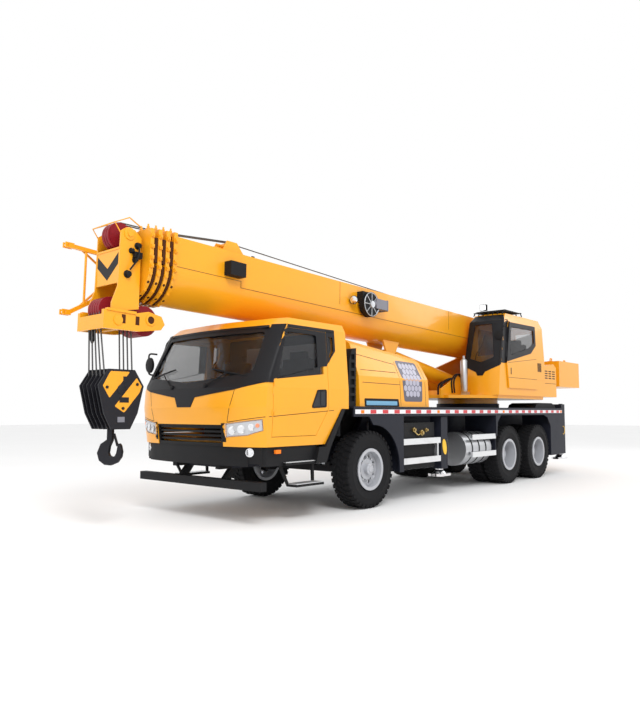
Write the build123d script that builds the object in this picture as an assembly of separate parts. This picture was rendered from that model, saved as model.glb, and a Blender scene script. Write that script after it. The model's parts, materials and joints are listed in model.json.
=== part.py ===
from build123d import *
from math import asin, atan2, cos, degrees, hypot, radians, sin, sqrt
import os

# A three-axle truck crane with a five-section telescopic boom, in travel order.
# Millimetres. X runs forward, Y to the left, Z up, and the ground is at Z = 0.
# While the pieces are made, X = 0 is the front axle; save() then moves every piece so
# that the origin lies below the middle of the overall box.

PAD_GAP = 0.3

# --- running gear -------------------------------------------------------------
AXLE_2_X = -4325
TANDEM_PITCH = 1350
AXLE_3_X = AXLE_2_X - TANDEM_PITCH
TYRE_R = 542
TYRE_W = 293
RIM_R = 262
RIM_FLANGE_R = 292
RIM_WALL = 14
FRONT_TRACK = 2074
REAR_TRACK = 1834
TWIN_PITCH = 340
HUB_R = 95
KINGPIN_Y = 905
KINGPIN_R = 32
RIM_DISH = 40
TWIN_DISH = 110
WEB_HALF = 9

# --- chassis ------------------------------------------------------------------
FULL_W = 2500
RAIL_Y = 430
RAIL_W = 90
RAIL_TOP = 1300
RAIL_BOTTOM = 780
RAIL_LOW_TOP = 900
RAIL_LOW_BOTTOM = 640
RAIL_STEP_X = -760
DECK_TOP = 1420
DECK_LIP = 1280
DECK_T = 20
DECK_FRONT_X = 470
DECK_REAR_X = -6970
PLATE_T = 20
GUARD_IN_Y = 620
TANK_R = 290
GUARD_GAP = 78
REAR_END_X = -7420

# --- outriggers ---------------------------------------------------------------
RIG_X = (-2075, -7200)
RIG_OFFSET = 125
BEAM_W = 190
BEAM_H = 260
BEAM_Z = 960
BEAM_GAP = 6
HOUSING_WALL = 14
PAD_LEN = 120
BEAM_TRAVEL = 1500
JACK_W = 200
JACK_Y = FULL_W / 2 - 130
BEAM_HOUSE_Y = JACK_Y - JACK_W / 2 - 15
JACK_TUBE_R = 62
FOOT_R = 190
FOOT_Z = 310
FOOT_T = 40

# --- driver's cab -------------------------------------------------------------
CAB_WALL = 55
CAB_REAR_X = 550
CAB_MID_Y = 800
CAB_ROWS = (
    # z, front at the middle, front at the corners, half width
    (930, 2300, 2060, 1195),
    (1400, 2350, 2095, 1225),
    (1640, 2330, 2080, 1225),
    (2420, 1905, 1710, 1165),
    (2520, 1760, 1600, 1110),
)
GLASS_T = 12
GLASS_INSET = 18
DOOR_GAP = 6
DOOR_HINGE_X = 1985
HINGE_OFF = 3
HINGE_Y = 1222
HINGE_R = 10
HINGE_LEN = 70
HINGE_ZS = (1340, 1590)

# --- superstructure -----------------------------------------------------------
SLEW_X = -5000
SLEW_R = 640
TURN_Z = 1600
TURN_T = 60
TAIL_R = 3400
HOOD_FRONT_X = 250
HOOD_REAR_X = -1550
CHEEK_Y = 425
CHEEK_T = 35
CW_BOTTOM = 1900
CW_TOP = 2470
CW_FRONT_X = -6950
CW_HALF = 1200

# --- boom, in its own axes: u along it from the foot pin, w across it ----------
FOOT_X = -6200
FOOT_Z_PIN = 2815
BOOM_TILT = 1.45
FOOT_PIN_R = 60
SECTION_R = 380
SECTION_STEP = 48
SECTION_TOP = 395
ARC_W = -15
BASE_WALL = 12
SECTION_WALL = 10
BASE_REAR_U = -230
COLLAR_U = 9000
COLLAR_PITCH = 105
COLLAR_T = 50
COLLAR_RIM = 34
SECTION_REAR_U = 420
SECTION_REAR_STEP = 60
HEAD_GAP = 25
HEAD_LEN = 270
HEAD_HALF = 250
HEAD_PLATE = 20
FRAME_REACH = 185
FRAME_LOW = 800
SHEAVE_AXLE_R = 32
SHEAVES = (
    # u past the head's rear face, w, radius, half width
    (160, 322, 165, 70),
    (275, -560, 150, 120),
    (-150, -640, 180, 150),
)

# --- lift cylinder ------------------------------------------------------------
LIFT_BASE = (-4620, 1890)
LIFT_EYE = (-1950, 2350)
LIFT_BARREL_R = 145
LIFT_ROD_R = 90
LIFT_EYE_R = 88
LIFT_PIN_R = 42
EAR_Y = 150
EAR_T = 35

# --- hook ---------------------------------------------------------------------
HOOK_PIN = (3370, 2300)
HOOK_PIN_R = 22
HOOK_SHEAVE_Z = 1600
ROPE_R = 9
ROPE_Y = 175
ROPE_PITCH = 60
SHEAVE_PITCH = ROPE_Y / 2
BLOCK_SHEAVE_R = 190
BLOCK_HALF = 290
BLOCK_RISE = 225
BLOCK_DROP = 450
BLOCK_PLATE = 18
HOOK_TURN = 130
HOOK_SINK = 268
HOOK_T = 84
HOOK_EASE = 14

os.makedirs("parts", exist_ok=True)


# --- helpers ------------------------------------------------------------------
def block(x0, x1, y0, y1, z0, z1):
    size = (abs(x1 - x0), abs(y1 - y0), abs(z1 - z0))
    return Pos((x0 + x1) / 2, (y0 + y1) / 2, (z0 + z1) / 2) * Box(*size)


def across(axis, at):
    """The drawing plane across an axis, with its sheet's right and up the other two."""
    if axis == "X":
        return Plane(origin=(at, 0, 0), x_dir=(0, 1, 0), z_dir=(1, 0, 0))
    if axis == "Y":
        return Plane(origin=(0, at, 0), x_dir=(1, 0, 0), z_dir=(0, -1, 0))
    return Plane(origin=(0, 0, at))


def prism(points, axis, low, high, radius=0):
    """A closed outline drawn across an axis and extruded along it from low to high."""
    if radius:
        line = FilletPolyline(*points, radius=radius, close=True)
    else:
        line = Polyline(*points, close=True)
    amount = low - high if axis == "Y" else high - low
    return extrude(across(axis, low) * make_face(line), amount=amount)


def bar(start, end, radius, bore=0):
    """A round bar, or a tube, between two points."""
    a, b = Vector(*start), Vector(*end)
    along = b - a
    solid = Plane(origin=(a + b) * 0.5, z_dir=along) * Cylinder(radius, along.length)
    if bore:
        solid -= Plane(origin=(a + b) * 0.5, z_dir=along) * Cylinder(bore, along.length)
    return solid


def strut(start, end, width):
    """A square bar between two points that lie in one plane along the machine."""
    a, b = Vector(*start), Vector(*end)
    along = b - a
    side = Vector(0, 1, 0) if abs(along.Y) < 0.9 * along.length else Vector(1, 0, 0)
    return Plane(origin=(a + b) * 0.5, x_dir=side.cross(along), z_dir=along) * Box(
        width, width, along.length)


def disc(x, z, radius, y0, y1, bore=0):
    """A disc or ring whose axle lies across the machine."""
    return bar((x, y0, z), (x, y1, z), radius, bore)


def flip(shape):
    """The same piece on the other side."""
    return mirror(shape, about=Plane.XZ)


def solids_of(things):
    """Every solid in a list of shapes and lists."""
    found = []
    for thing in things:
        if isinstance(thing, (list, tuple)):
            found += solids_of(thing)
        else:
            found += list(thing.solids())
    return found


# --- overall box --------------------------------------------------------------
BOOM_COS = cos(radians(BOOM_TILT))
BOOM_SIN = sin(radians(BOOM_TILT))
HEAD_U = COLLAR_U + 3 * COLLAR_PITCH + COLLAR_T + HEAD_GAP
HEAD_FRONT = HEAD_U + HEAD_LEN
FRONT_X = FOOT_X + (HEAD_FRONT + FRAME_REACH) * BOOM_COS + FRAME_LOW * BOOM_SIN
REAR_X = SLEW_X - TAIL_R
ORIGIN_X = (FRONT_X + REAR_X) / 2


def save(name, *things):
    """Write one node, moved to the machine's own origin."""
    moved = [Pos(-ORIGIN_X, 0, 0) * s for s in solids_of(things)]
    shape = moved[0] if len(moved) == 1 else Compound(children=moved)
    export_step(shape, f"parts/{name}.step")


def boom_place():
    """Where the boom's own axes stand: the foot pin, nose up by the travel tilt."""
    return Pos(FOOT_X, 0, FOOT_Z_PIN) * Rot(0, -BOOM_TILT, 0)


def to_boom(x, z):
    """A point of the machine, as u and w of the boom."""
    dx, dz = x - FOOT_X, z - FOOT_Z_PIN
    return dx * BOOM_COS + dz * BOOM_SIN, dz * BOOM_COS - dx * BOOM_SIN


# --- wheels -------------------------------------------------------------------
def tyre(x, y):
    """A tyre as a ring with rounded shoulders and bulged walls."""
    h = TYRE_W / 2
    tread_h = h - 28
    pts = [(RIM_R, -h + 30), (RIM_R, h - 30), (RIM_R + 60, h - 8), (RIM_R + 130, h),
           (TYRE_R - 60, h - 6), (TYRE_R - 8, tread_h), (TYRE_R, tread_h - 26)]
    pts += [(r, -w) for r, w in reversed(pts[2:])]
    ring = revolve(Plane.XZ * make_face(Polyline(*pts, close=True)), Axis.Z)
    return Pos(x, y, TYRE_R) * Rot(90, 0, 0) * ring


def rim(x, y, dish, side):
    """A rim barrel with flanges, its disc set off the middle by dish, and a hub."""
    h = TYRE_W / 2
    d = dish * side
    barrel = [(RIM_R - RIM_WALL, -h), (RIM_FLANGE_R, -h), (RIM_FLANGE_R, -h + 12),
              (RIM_R - PAD_GAP, -h + 16), (RIM_R - PAD_GAP, h - 16), (RIM_FLANGE_R, h - 12),
              (RIM_FLANGE_R, h), (RIM_R - RIM_WALL, h)]
    web_r = RIM_R - RIM_WALL + 1
    web = [(0, d - WEB_HALF), (web_r, d - WEB_HALF), (web_r, d + WEB_HALF), (0, d + WEB_HALF)]
    ring = revolve(Plane.XZ * make_face(Polyline(*barrel, close=True)), Axis.Z)
    face = revolve(Plane.XZ * make_face(Polyline(*web, close=True)), Axis.Z)
    for n in range(8):
        hole = Rot(0, 0, 45 * n + 22.5) * Pos(195, 0, d) * Cylinder(24, 60)
        face -= hole
    # The wheel's axle is Y: the rim's own +Z turns to -Y.
    return Pos(x, y, TYRE_R) * Rot(90, 0, 0) * (ring + face)


def front_rim(x, y, side):
    """The single wheel: its disc bulges outward round a wide hub with a cap."""
    wheel = rim(x, y, -RIM_DISH, side)
    hub = disc(x, TYRE_R, HUB_R + 50, y + side * RIM_DISH, y + side * 75)
    cap = disc(x, TYRE_R, HUB_R - 20, y + side * 75, y + side * 125)
    return wheel + hub + cap


def rear_rims(x, y, side):
    """Twin wheels: deep dish outside, and a hub drum that joins both discs."""
    outer = y + side * TWIN_PITCH / 2
    inner = y - side * TWIN_PITCH / 2
    pair = rim(x, outer, TWIN_DISH, side) + rim(x, inner, -TWIN_DISH, side)
    drum = disc(x, TYRE_R, HUB_R + 45, inner + side * TWIN_DISH, outer - side * TWIN_DISH)
    cap = disc(x, TYRE_R, HUB_R, outer - side * TWIN_DISH, outer + side * 20)
    return pair + drum + cap


def wheels():
    for side, word in ((1, "left"), (-1, "right")):
        y = side * FRONT_TRACK / 2
        save(f"tyre_front_{word}", tyre(0, y))
        save(f"rim_front_{word}", front_rim(0, y, side))
        for n, x in ((2, AXLE_2_X), (3, AXLE_3_X)):
            y = side * REAR_TRACK / 2
            twin = [tyre(x, y + k * TWIN_PITCH / 2) for k in (-1, 1)]
            save(f"tyres_axle_{n}_{word}", twin)
            save(f"rims_axle_{n}_{word}", rear_rims(x, y, side))


def knuckle(side, word):
    """The steering knuckle: a fork round the axle beam's eye, and the stub axle."""
    y = side * KINGPIN_Y
    upright = block(-60, 60, y + side * 40, y + side * 58, TYRE_R - 125, TYRE_R + 125)
    arms = [block(-55, 55, y - side * 50, y + side * 58, TYRE_R + s * 76, TYRE_R + s * 125)
            for s in (-1, 1)]
    pin = bar((0, y, TYRE_R - 140), (0, y, TYRE_R + 140), KINGPIN_R)
    stub_end = FRONT_TRACK / 2 + RIM_DISH - WEB_HALF - PAD_GAP
    stub = disc(0, TYRE_R, 45, y + side * 50, side * stub_end)
    arm = block(-200, -40, y - side * 20, y + side * 30, TYRE_R - 125, TYRE_R - 95)
    save(f"steering_knuckle_{word}", upright + arms[0] + arms[1] + pin + stub + arm)


def axles():
    """The front axle beam with its kingpin eyes, and two rear axles with their bowls."""
    eye_y = KINGPIN_Y - 55
    beam = block(-55, 55, -eye_y, eye_y, TYRE_R - 70, TYRE_R + 20)
    for side in (1, -1):
        eye = bar((0, side * KINGPIN_Y, TYRE_R - 75), (0, side * KINGPIN_Y, TYRE_R + 75), 38)
        neck = block(-38, 38, side * (eye_y - 60), side * (KINGPIN_Y), TYRE_R - 70, TYRE_R + 70)
        bore = bar((0, side * KINGPIN_Y, 0), (0, side * KINGPIN_Y, 2 * TYRE_R), KINGPIN_R + 0.3)
        beam = beam + eye + neck - bore
    seats = [block(-60, 60, s * RAIL_Y - 45, s * RAIL_Y + 45, TYRE_R + 20, RAIL_LOW_BOTTOM)
             for s in (1, -1)]
    rear = []
    half = REAR_TRACK / 2 - TWIN_PITCH / 2 - TYRE_W / 2 - 10
    for x in (AXLE_2_X, AXLE_3_X):
        tube = disc(x, TYRE_R, 75, -half, half)
        bowl = Pos(x, 0, TYRE_R) * Sphere(215)
        bowl -= block(x - 300, x + 300, -300, 300, TYRE_R + 190, TYRE_R + 300)
        stub_end = (REAR_TRACK - TWIN_PITCH) / 2 + TWIN_DISH - WEB_HALF - PAD_GAP
        stubs = disc(x, TYRE_R, 50, -stub_end, stub_end)
        pads = [block(x - 60, x + 60, s * (RAIL_Y - 45), s * (RAIL_Y + 45),
                      TYRE_R + 40, RAIL_BOTTOM) for s in (1, -1)]
        rear.append(tube + bowl + stubs + pads[0] + pads[1])
    save("axles", beam + seats[0] + seats[1], rear)


# --- chassis ------------------------------------------------------------------
def beam_x(rig, side):
    """Middle of one outrigger beam; left and right beams lie side by side."""
    return RIG_X[rig] + side * RIG_OFFSET


def housing_box(x, grow):
    """The outside of one outrigger housing."""
    half = RIG_OFFSET + BEAM_W / 2 + BEAM_GAP + HOUSING_WALL + grow
    tall = BEAM_H / 2 + BEAM_GAP + HOUSING_WALL + grow
    return block(x - half, x + half, -BEAM_HOUSE_Y, BEAM_HOUSE_Y, BEAM_Z - tall, BEAM_Z + tall)


def beam_housing(x):
    """A box across the machine with two tunnels, and pads under each beam at its ends."""
    housing = housing_box(x, 0)
    half_w, half_h = BEAM_W / 2 + BEAM_GAP, BEAM_H / 2 + BEAM_GAP
    for s in (1, -1):
        bx = x + s * RIG_OFFSET
        housing -= block(bx - half_w, bx + half_w, -BEAM_HOUSE_Y, BEAM_HOUSE_Y,
                         BEAM_Z - half_h, BEAM_Z + half_h)
        for k in (1, -1):
            housing += block(bx - half_w, bx + half_w, k * (BEAM_HOUSE_Y - PAD_LEN), k * BEAM_HOUSE_Y,
                             BEAM_Z - half_h, BEAM_Z - BEAM_H / 2 - PAD_GAP)
    return housing


def chassis_frame():
    """Two stepped rails, cross members, outrigger housings and the slewing seat."""
    web = [(1960, RAIL_LOW_BOTTOM), (1960, RAIL_LOW_TOP), (RAIL_STEP_X + 250, RAIL_LOW_TOP),
           (RAIL_STEP_X, RAIL_TOP), (REAR_END_X, RAIL_TOP), (REAR_END_X, RAIL_BOTTOM),
           (RAIL_STEP_X, RAIL_BOTTOM), (RAIL_STEP_X + 250, RAIL_LOW_BOTTOM)]
    rails = [prism(web, "Y", s * RAIL_Y - RAIL_W / 2, s * RAIL_Y + RAIL_W / 2) for s in (1, -1)]
    frame = rails[0] + rails[1]
    inner = RAIL_Y - RAIL_W / 2
    for x, z0, z1 in ((1900, RAIL_LOW_BOTTOM, RAIL_LOW_TOP), (600, RAIL_LOW_BOTTOM, RAIL_LOW_TOP),
                      (-1500, RAIL_BOTTOM, RAIL_TOP), (-3500, RAIL_BOTTOM, RAIL_TOP),
                      (-6300, RAIL_BOTTOM, RAIL_TOP)):
        frame += block(x - 50, x + 50, -inner, inner, z0, z1)
    for x in (1150, 1800):
        for s in (1, -1):
            frame += block(x - 50, x + 50, s * RAIL_Y - 40, s * RAIL_Y + 40, RAIL_LOW_TOP,
                           CAB_ROWS[0][0])
    housings = [beam_housing(x) for x in RIG_X]
    for x in RIG_X:
        frame -= housing_box(x, PAD_GAP)
    seat_top = TURN_Z - 90
    place = Pos(SLEW_X, 0, (RAIL_TOP + PAD_GAP + seat_top) / 2)
    height = seat_top - RAIL_TOP - PAD_GAP
    seat = place * (Cylinder(SLEW_R, height) - Cylinder(SLEW_R - 120, height))
    save("chassis_frame", frame, housings, seat)


def chassis_deck():
    """The walk-on deck with its deep edge, mudguards and skirts."""
    half = FULL_W / 2
    top = block(DECK_REAR_X, DECK_FRONT_X, -half, half, DECK_TOP - DECK_T, DECK_TOP)
    top -= Pos(SLEW_X, 0, DECK_TOP) * Cylinder(SLEW_R + 40, 200)
    deck = top
    legs = [block(DECK_REAR_X, DECK_REAR_X + PLATE_T, -half, half, RAIL_TOP, DECK_TOP - DECK_T),
            block(RAIL_STEP_X - 60, RAIL_STEP_X - 60 - PLATE_T, -half, half, RAIL_TOP,
                  DECK_TOP - DECK_T),
            block(-3760, -3760 - PLATE_T, -half, half, RAIL_TOP, DECK_TOP - DECK_T)]
    for leg in legs:
        deck += leg
    deck -= block(HOOD_REAR_X + 60, HOOD_FRONT_X - 60, -900, 900, DECK_LIP, DECK_TOP + 50)
    for s in (1, -1):
        deck += block(DECK_REAR_X, DECK_FRONT_X, s * half, s * (half - PLATE_T), DECK_LIP, DECK_TOP)
    save("chassis_deck", deck, [mudguards(s) for s in (1, -1)])


def mudguards(s):
    """Skirts of one side: behind the front wheel, and ahead of and behind the tandem."""
    half = FULL_W / 2
    top = DECK_LIP - PAD_GAP
    outer, inner = s * half, s * (half - PLATE_T)

    def plate(points):
        return prism(points, "Y", min(outer, inner), max(outer, inner))

    def wall(x, low):
        return block(x, x + PLATE_T, s * GUARD_IN_Y, inner, low, top)

    arch = disc(0, TYRE_R, TYRE_R + GUARD_GAP, -half, half)
    first = plate([(120, top), (-730, top), (-730, 460), (-560, 460)]) - arch + wall(-730, 460)
    second = plate([(-3750, top), (-3950, top), (-3820, 1150), (-3790, 900), (-3750, 900)])
    second += wall(-3770, 640)
    third = plate([(-5950, top), (DECK_REAR_X, top), (DECK_REAR_X, 430), (-6290, 430),
                   (-6290, 1050), (-6130, 1230)]) + wall(-6310, 430)
    return [first, second, third]


def side_equipment():
    """Guard bars, air tank, battery box and fuel tank between the axles."""
    half = FULL_W / 2
    bars = []
    tanks = []
    for s in (1, -1):
        for z in (850, 560):
            bars.append(block(-1800, -730, s * (half - 50), s * (half - 10), z, z + 90))
        for z in (860, 560):
            bars.append(block(-3750, -2860, s * (half - 50), s * (half - 10), z, z + 90))
        tank = bar((-2720, s * (half - 350), 700), (-3660, s * (half - 350), 700), TANK_R)
        tank -= bar((-2726, s * (half - 350), 700), (-3654, s * (half - 350), 700), TANK_R - 6)
        strap = block(-3240, -3180, s * (RAIL_Y + RAIL_W / 2), s * (half - 350 - TANK_R + 3), 660, 780)
        tanks.append(tank + strap)
        box = block(-1750, -860, s * (RAIL_Y + RAIL_W / 2), s * (half - 100), 470, 1180)
        box -= block(-1744, -866, s * (RAIL_Y + RAIL_W / 2 + 6), s * (half - 106), 476, 1174)
        tanks.append(box)
    hangers = []
    for s in (1, -1):
        hangers.append(block(-1800, -1760, s * (RAIL_Y + RAIL_W / 2), s * (half - 50), 560, 940))
    save("side_guard_bars", bars, hangers)
    save("side_tanks", tanks)


def outriggers():
    """Four beams with their jack columns, and four jacks with round feet."""
    for rig, where in ((0, "front"), (1, "rear")):
        for s, word in ((1, "left"), (-1, "right")):
            x = beam_x(rig, s)
            y_in = -s * (BEAM_HOUSE_Y - 30)
            y_out = s * (JACK_Y - JACK_W / 2 + 10)
            beam = block(x - BEAM_W / 2, x + BEAM_W / 2, y_in, y_out,
                         BEAM_Z - BEAM_H / 2, BEAM_Z + BEAM_H / 2)
            beam -= block(x - BEAM_W / 2 + 14, x + BEAM_W / 2 - 14, y_in, y_out - s * 14,
                          BEAM_Z - BEAM_H / 2 + 14, BEAM_Z + BEAM_H / 2 - 14)
            top = DECK_LIP - 15 if rig == 0 else 1510
            column = block(x - JACK_W / 2, x + JACK_W / 2, s * (JACK_Y - JACK_W / 2),
                           s * (JACK_Y + JACK_W / 2), 430, top)
            bore = bar((x, s * JACK_Y, 430), (x, s * JACK_Y, top - 20), JACK_TUBE_R + 0.3)
            save(f"outrigger_beam_{where}_{word}", beam + column - bore)
            rod = bar((x, s * JACK_Y, FOOT_Z + FOOT_T), (x, s * JACK_Y, top - 80), JACK_TUBE_R)
            foot = Pos(x, s * JACK_Y, FOOT_Z + FOOT_T / 2) * Cylinder(FOOT_R, FOOT_T)
            foot &= block(x - FOOT_R, x + FOOT_R, s * (FULL_W / 2 - 5), s * (FULL_W / 2 - 255),
                          FOOT_Z, FOOT_Z + FOOT_T)
            cup = Pos(x, s * JACK_Y, FOOT_Z + FOOT_T + 30) * Cone(110, JACK_TUBE_R, 60)
            save(f"outrigger_jack_{where}_{word}", rod + foot + cup)


# --- driver's cab -------------------------------------------------------------
def cab_size(z):
    """Front, corner and half width of the cab at a height, between the rows."""
    for (z0, *a), (z1, *b) in zip(CAB_ROWS, CAB_ROWS[1:]):
        if z <= z1:
            t = (z - z0) / (z1 - z0)
            return [p + (q - p) * t for p, q in zip(a, b)]
    return list(CAB_ROWS[-1][1:])


def cab_wire(z, inset):
    """The cab's plan at a height: straight rear and sides, a bowed front."""
    front, corner, half = cab_size(z)
    front, corner, half = front - inset, corner - inset * 0.8, half - inset
    rear = CAB_REAR_X + inset
    mid_y = CAB_MID_Y * half / CAB_ROWS[1][3]
    mid_x = front - 70
    turn = ((corner + mid_x) / 2 + 22, (half + mid_y) / 2 + 22)
    edges = [Line((rear, -half), (corner, -half)),
             ThreePointArc((corner, -half), (turn[0], -turn[1]), (mid_x, -mid_y)),
             ThreePointArc((mid_x, -mid_y), (front, 0), (mid_x, mid_y)),
             ThreePointArc((mid_x, mid_y), turn, (corner, half)),
             Line((corner, half), (rear, half)),
             Line((rear, half), (rear, -half))]
    return Pos(0, 0, z) * Wire(edges)


def cab_body(inset, bottom, top):
    """The cab as a solid, inset from the outer skin, from one height to another."""
    levels = [bottom] + [row[0] for row in CAB_ROWS if bottom < row[0] < top] + [top]
    return Solid.make_loft([cab_wire(z, inset) for z in levels], ruled=True)


ARCH_TOP = (700, 1385)
ARCH_LOW = (1030, 900)


def arch_cut(grow):
    """What the front wheel's arch takes out of the cab's lower rear corner."""
    pts = [(CAB_REAR_X - 60, ARCH_TOP[1] + grow), (ARCH_TOP[0] + grow * 0.55, ARCH_TOP[1] + grow),
           (ARCH_LOW[0] + grow * 1.2, ARCH_LOW[1]), (CAB_REAR_X - 60, ARCH_LOW[1])]
    return prism(pts, "Y", -FULL_W, FULL_W)


DOOR_OUTLINE = [(DOOR_HINGE_X, 1045), (DOOR_HINGE_X, 1690), (1775, 2385), (965, 2385),
                (965, 1380), (1190, 1045)]
DOOR_WINDOW = [(1915, 1740), (1725, 2335), (1045, 2335), (1045, 1830)]
QUARTER_WINDOW = [(930, 1975), (930, 2335), (815, 2335), (815, 2150)]
SCREEN = [(-1060, 1755), (0, 1650), (1060, 1755), (1015, 2395), (-1015, 2395)]
REAR_WINDOWS = ((150, 700), (-700, -150))


def side_prism(face_points, side, gap=0):
    """A prism through one side wall only."""
    face = make_face(Polyline(*face_points, close=True))
    if gap:
        face = offset(face, amount=-gap, kind=Kind.INTERSECTION)
    low, high = (900, 1400) if side > 0 else (-1400, -900)
    return extrude(across("Y", low) * face, amount=low - high)


LAMP_OUTLINE = [(700, 1040), (700, 1205), (1180, 1262), (1180, 1125), (1000, 1065)]
LAMP_DEPTH = 35
LAMP_SETBACK = 25
GRILLE_HALF = 650
GRILLE_TOP = 1190


def lamp_hole(side, gap):
    """A prism through the front corner where a lamp cluster sits."""
    pts = [(side * y, z) for y, z in LAMP_OUTLINE]
    face = make_face(Polyline(*pts, close=True))
    if gap:
        face = offset(face, amount=gap, kind=Kind.INTERSECTION)
    return extrude(across("X", DOOR_HINGE_X + LAMP_SETBACK) * face, amount=600)


def driver_cab():
    skin = cab_body(0, CAB_ROWS[0][0], CAB_ROWS[-1][0]) - arch_cut(0)
    for side in (1, -1):
        deep = lamp_hole(side, PAD_GAP) - cab_body(LAMP_DEPTH, 980, 1320)
        skin -= deep
    room = cab_body(CAB_WALL, CAB_ROWS[0][0] + 70, CAB_ROWS[-1][0] - 40) - arch_cut(CAB_WALL)
    shell = skin - room
    pane = (cab_body(GLASS_INSET, CAB_ROWS[0][0] + 20, CAB_ROWS[-1][0] - 20)
            - cab_body(GLASS_INSET + GLASS_T, CAB_ROWS[0][0] + 20, CAB_ROWS[-1][0] - 20))
    skin_hole = block(2100, 2500, -GRILLE_HALF, GRILLE_HALF, CAB_ROWS[0][0], GRILLE_TOP)
    shell -= skin_hole
    screen_cut = prism(SCREEN, "X", 1500, 2500, radius=60)
    panes = [pane & screen_cut]
    cab = shell - screen_cut
    for y0, y1 in REAR_WINDOWS:
        hole = block(CAB_REAR_X - 50, CAB_REAR_X + 100, y0, y1, 1980, 2290)
        cab -= hole
        panes.append(pane & hole)
    for side, word in ((1, "left"), (-1, "right")):
        opening = side_prism(DOOR_OUTLINE, side)
        cab -= opening
        quarter = side_prism(QUARTER_WINDOW, side)
        cab -= quarter
        panes.append(pane & quarter)
        door = shell & side_prism(DOOR_OUTLINE, side, DOOR_GAP)
        window = side_prism(DOOR_WINDOW, side)
        for z in HINGE_ZS:
            place = Pos(DOOR_HINGE_X + HINGE_OFF, side * HINGE_Y, z)
            cab -= place * Cylinder(HINGE_R + PAD_GAP, HINGE_LEN + 2 * PAD_GAP)
            door += place * Cylinder(HINGE_R, HINGE_LEN)
            leaf_y = sorted((side * HINGE_Y, side * (HINGE_Y - HINGE_R)))
            door += block(DOOR_HINGE_X - HINGE_LEN / 2, DOOR_HINGE_X, *leaf_y,
                          z - HINGE_LEN / 2, z + HINGE_LEN / 2)
        save(f"cab_door_{word}", door - window)
        save(f"cab_door_glass_{word}", pane & window)
    save("driver_cab", cab)
    save("driver_cab_glass", panes)


def seat(x, y, z, floor):
    """A driver's seat on its pedestal: cushion, back and headrest."""
    cushion = Pos(x, y, z + 330) * Box(500, 500, 130)
    back = Pos(x - 250, y, z + 640) * Rot(0, -8, 0) * Box(120, 480, 620)
    head = Pos(x - 300, y, z + 980) * Box(90, 260, 150)
    foot = block(x - 180, x + 180, y - 180, y + 180, floor, z + 270)
    return cushion + back + head + foot


def cab_interior():
    floor = CAB_ROWS[0][0] + 70
    rear_floor = 1385 + CAB_WALL
    seats = [seat(1180, s * 620, rear_floor - 330, floor) for s in (1, -1)]
    keep = cab_body(CAB_WALL + 2, floor, 2440) - arch_cut(CAB_WALL)
    dash = prism([(2240, 1250), (2240, 1600), (2050, 1640), (1880, 1560), (1960, 1250)],
                 "Y", -1120, 1120) & keep
    console = block(900, 2000, -230, 230, rear_floor - 300, rear_floor + 40) & keep
    column = bar((1880, 620, 1480), (1730, 620, 1640), 30)
    wheel = Plane(origin=(1725, 620, 1645), z_dir=(-150, 0, 160)) * Torus(210, 16)
    spokes = Plane(origin=(1725, 620, 1645), z_dir=(-150, 0, 160)) * Box(400, 40, 14)
    steer = column + wheel + spokes
    save("driver_cab_interior", [s & keep for s in seats], dash + console + steer)


def front_end():
    """The black bumper, grille, arch fenders, steps and the tow bar below."""
    z0, z1 = 700, CAB_ROWS[0][0]
    lower = Solid.make_loft([cab_wire(CAB_ROWS[0][0], 25).moved(Pos(0, 0, z - CAB_ROWS[0][0]))
                             for z in (z0, z1)], ruled=True)
    trim = lower & block(1150, 2500, -1300, 1300, z0, z1)
    core = block(1100, 2150, -1100, 1100, z0 - 10, z1 + 10)
    trim -= core
    trim += grille()
    pieces = []
    band = prism([(ARCH_TOP[0] - 70, ARCH_TOP[1]), ARCH_TOP, ARCH_LOW, (1160, ARCH_LOW[1]),
                  (1220, 700), (1020, 700), (940, 880)], "Y", 600, 1235)
    for s in (1, -1):
        fender = band if s > 0 else flip(band)
        steps = fender
        steps += block(1040, 1750, s * 1010, s * 1215, 700, 730)
        steps += block(1050, 1560, s * 1040, s * 1215, 425, 455)
        for x_top, x_low in ((1080, 1075), (1690, 1530)):
            steps += prism([(x_top, 715), (x_top + 45, 715), (x_low + 30, 430), (x_low, 430)],
                           "Y", *sorted((s * 1040, s * 1070)))
        pieces.append(steps)
    tow = block(2060, 2160, -1200, 1200, 420, 525)
    for s in (1, -1):
        tow += prism([(2060, 420), (2060, 525), (1960, 640), (1850, 640), (1960, 500)], "Y",
                     *sorted((s * (RAIL_Y - 35), s * (RAIL_Y + 35))))
    for s in (1, -1):
        tow += block(1960, 2150, s * RAIL_Y - 40, s * RAIL_Y + 40, 640, 900)
    save("front_bumper", trim + pieces[0] + pieces[1] + tow)


def grille():
    """A black frame with three slats, set into the cab's front above the bumper."""
    y, top = GRILLE_HALF - PAD_GAP, GRILLE_TOP - PAD_GAP
    zone = block(2100, 2500, -y, y, CAB_ROWS[0][0], top)
    frame = (cab_body(12, CAB_ROWS[0][0], top) - cab_body(12 + CAB_WALL, CAB_ROWS[0][0], top)) & zone
    opening = block(2100, 2500, -y + 30, y - 30, CAB_ROWS[0][0] + 40, top - 20)
    slats = (cab_body(30, CAB_ROWS[0][0], top) - cab_body(12 + CAB_WALL, CAB_ROWS[0][0], top)) & opening
    pitch = (top - 60 - CAB_ROWS[0][0]) / 4
    for n in range(4):
        z = CAB_ROWS[0][0] + 40 + pitch * n
        slats -= block(2100, 2500, -y, y, z, z + pitch / 2)
    return frame - opening + slats


def headlamps():
    """Lamp clusters let into the front corners."""
    keep = cab_body(-6, 1000, 1300) - cab_body(LAMP_DEPTH - PAD_GAP, 1000, 1300)
    save("headlamps", [lamp_hole(s, 0) & keep for s in (1, -1)])


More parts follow.
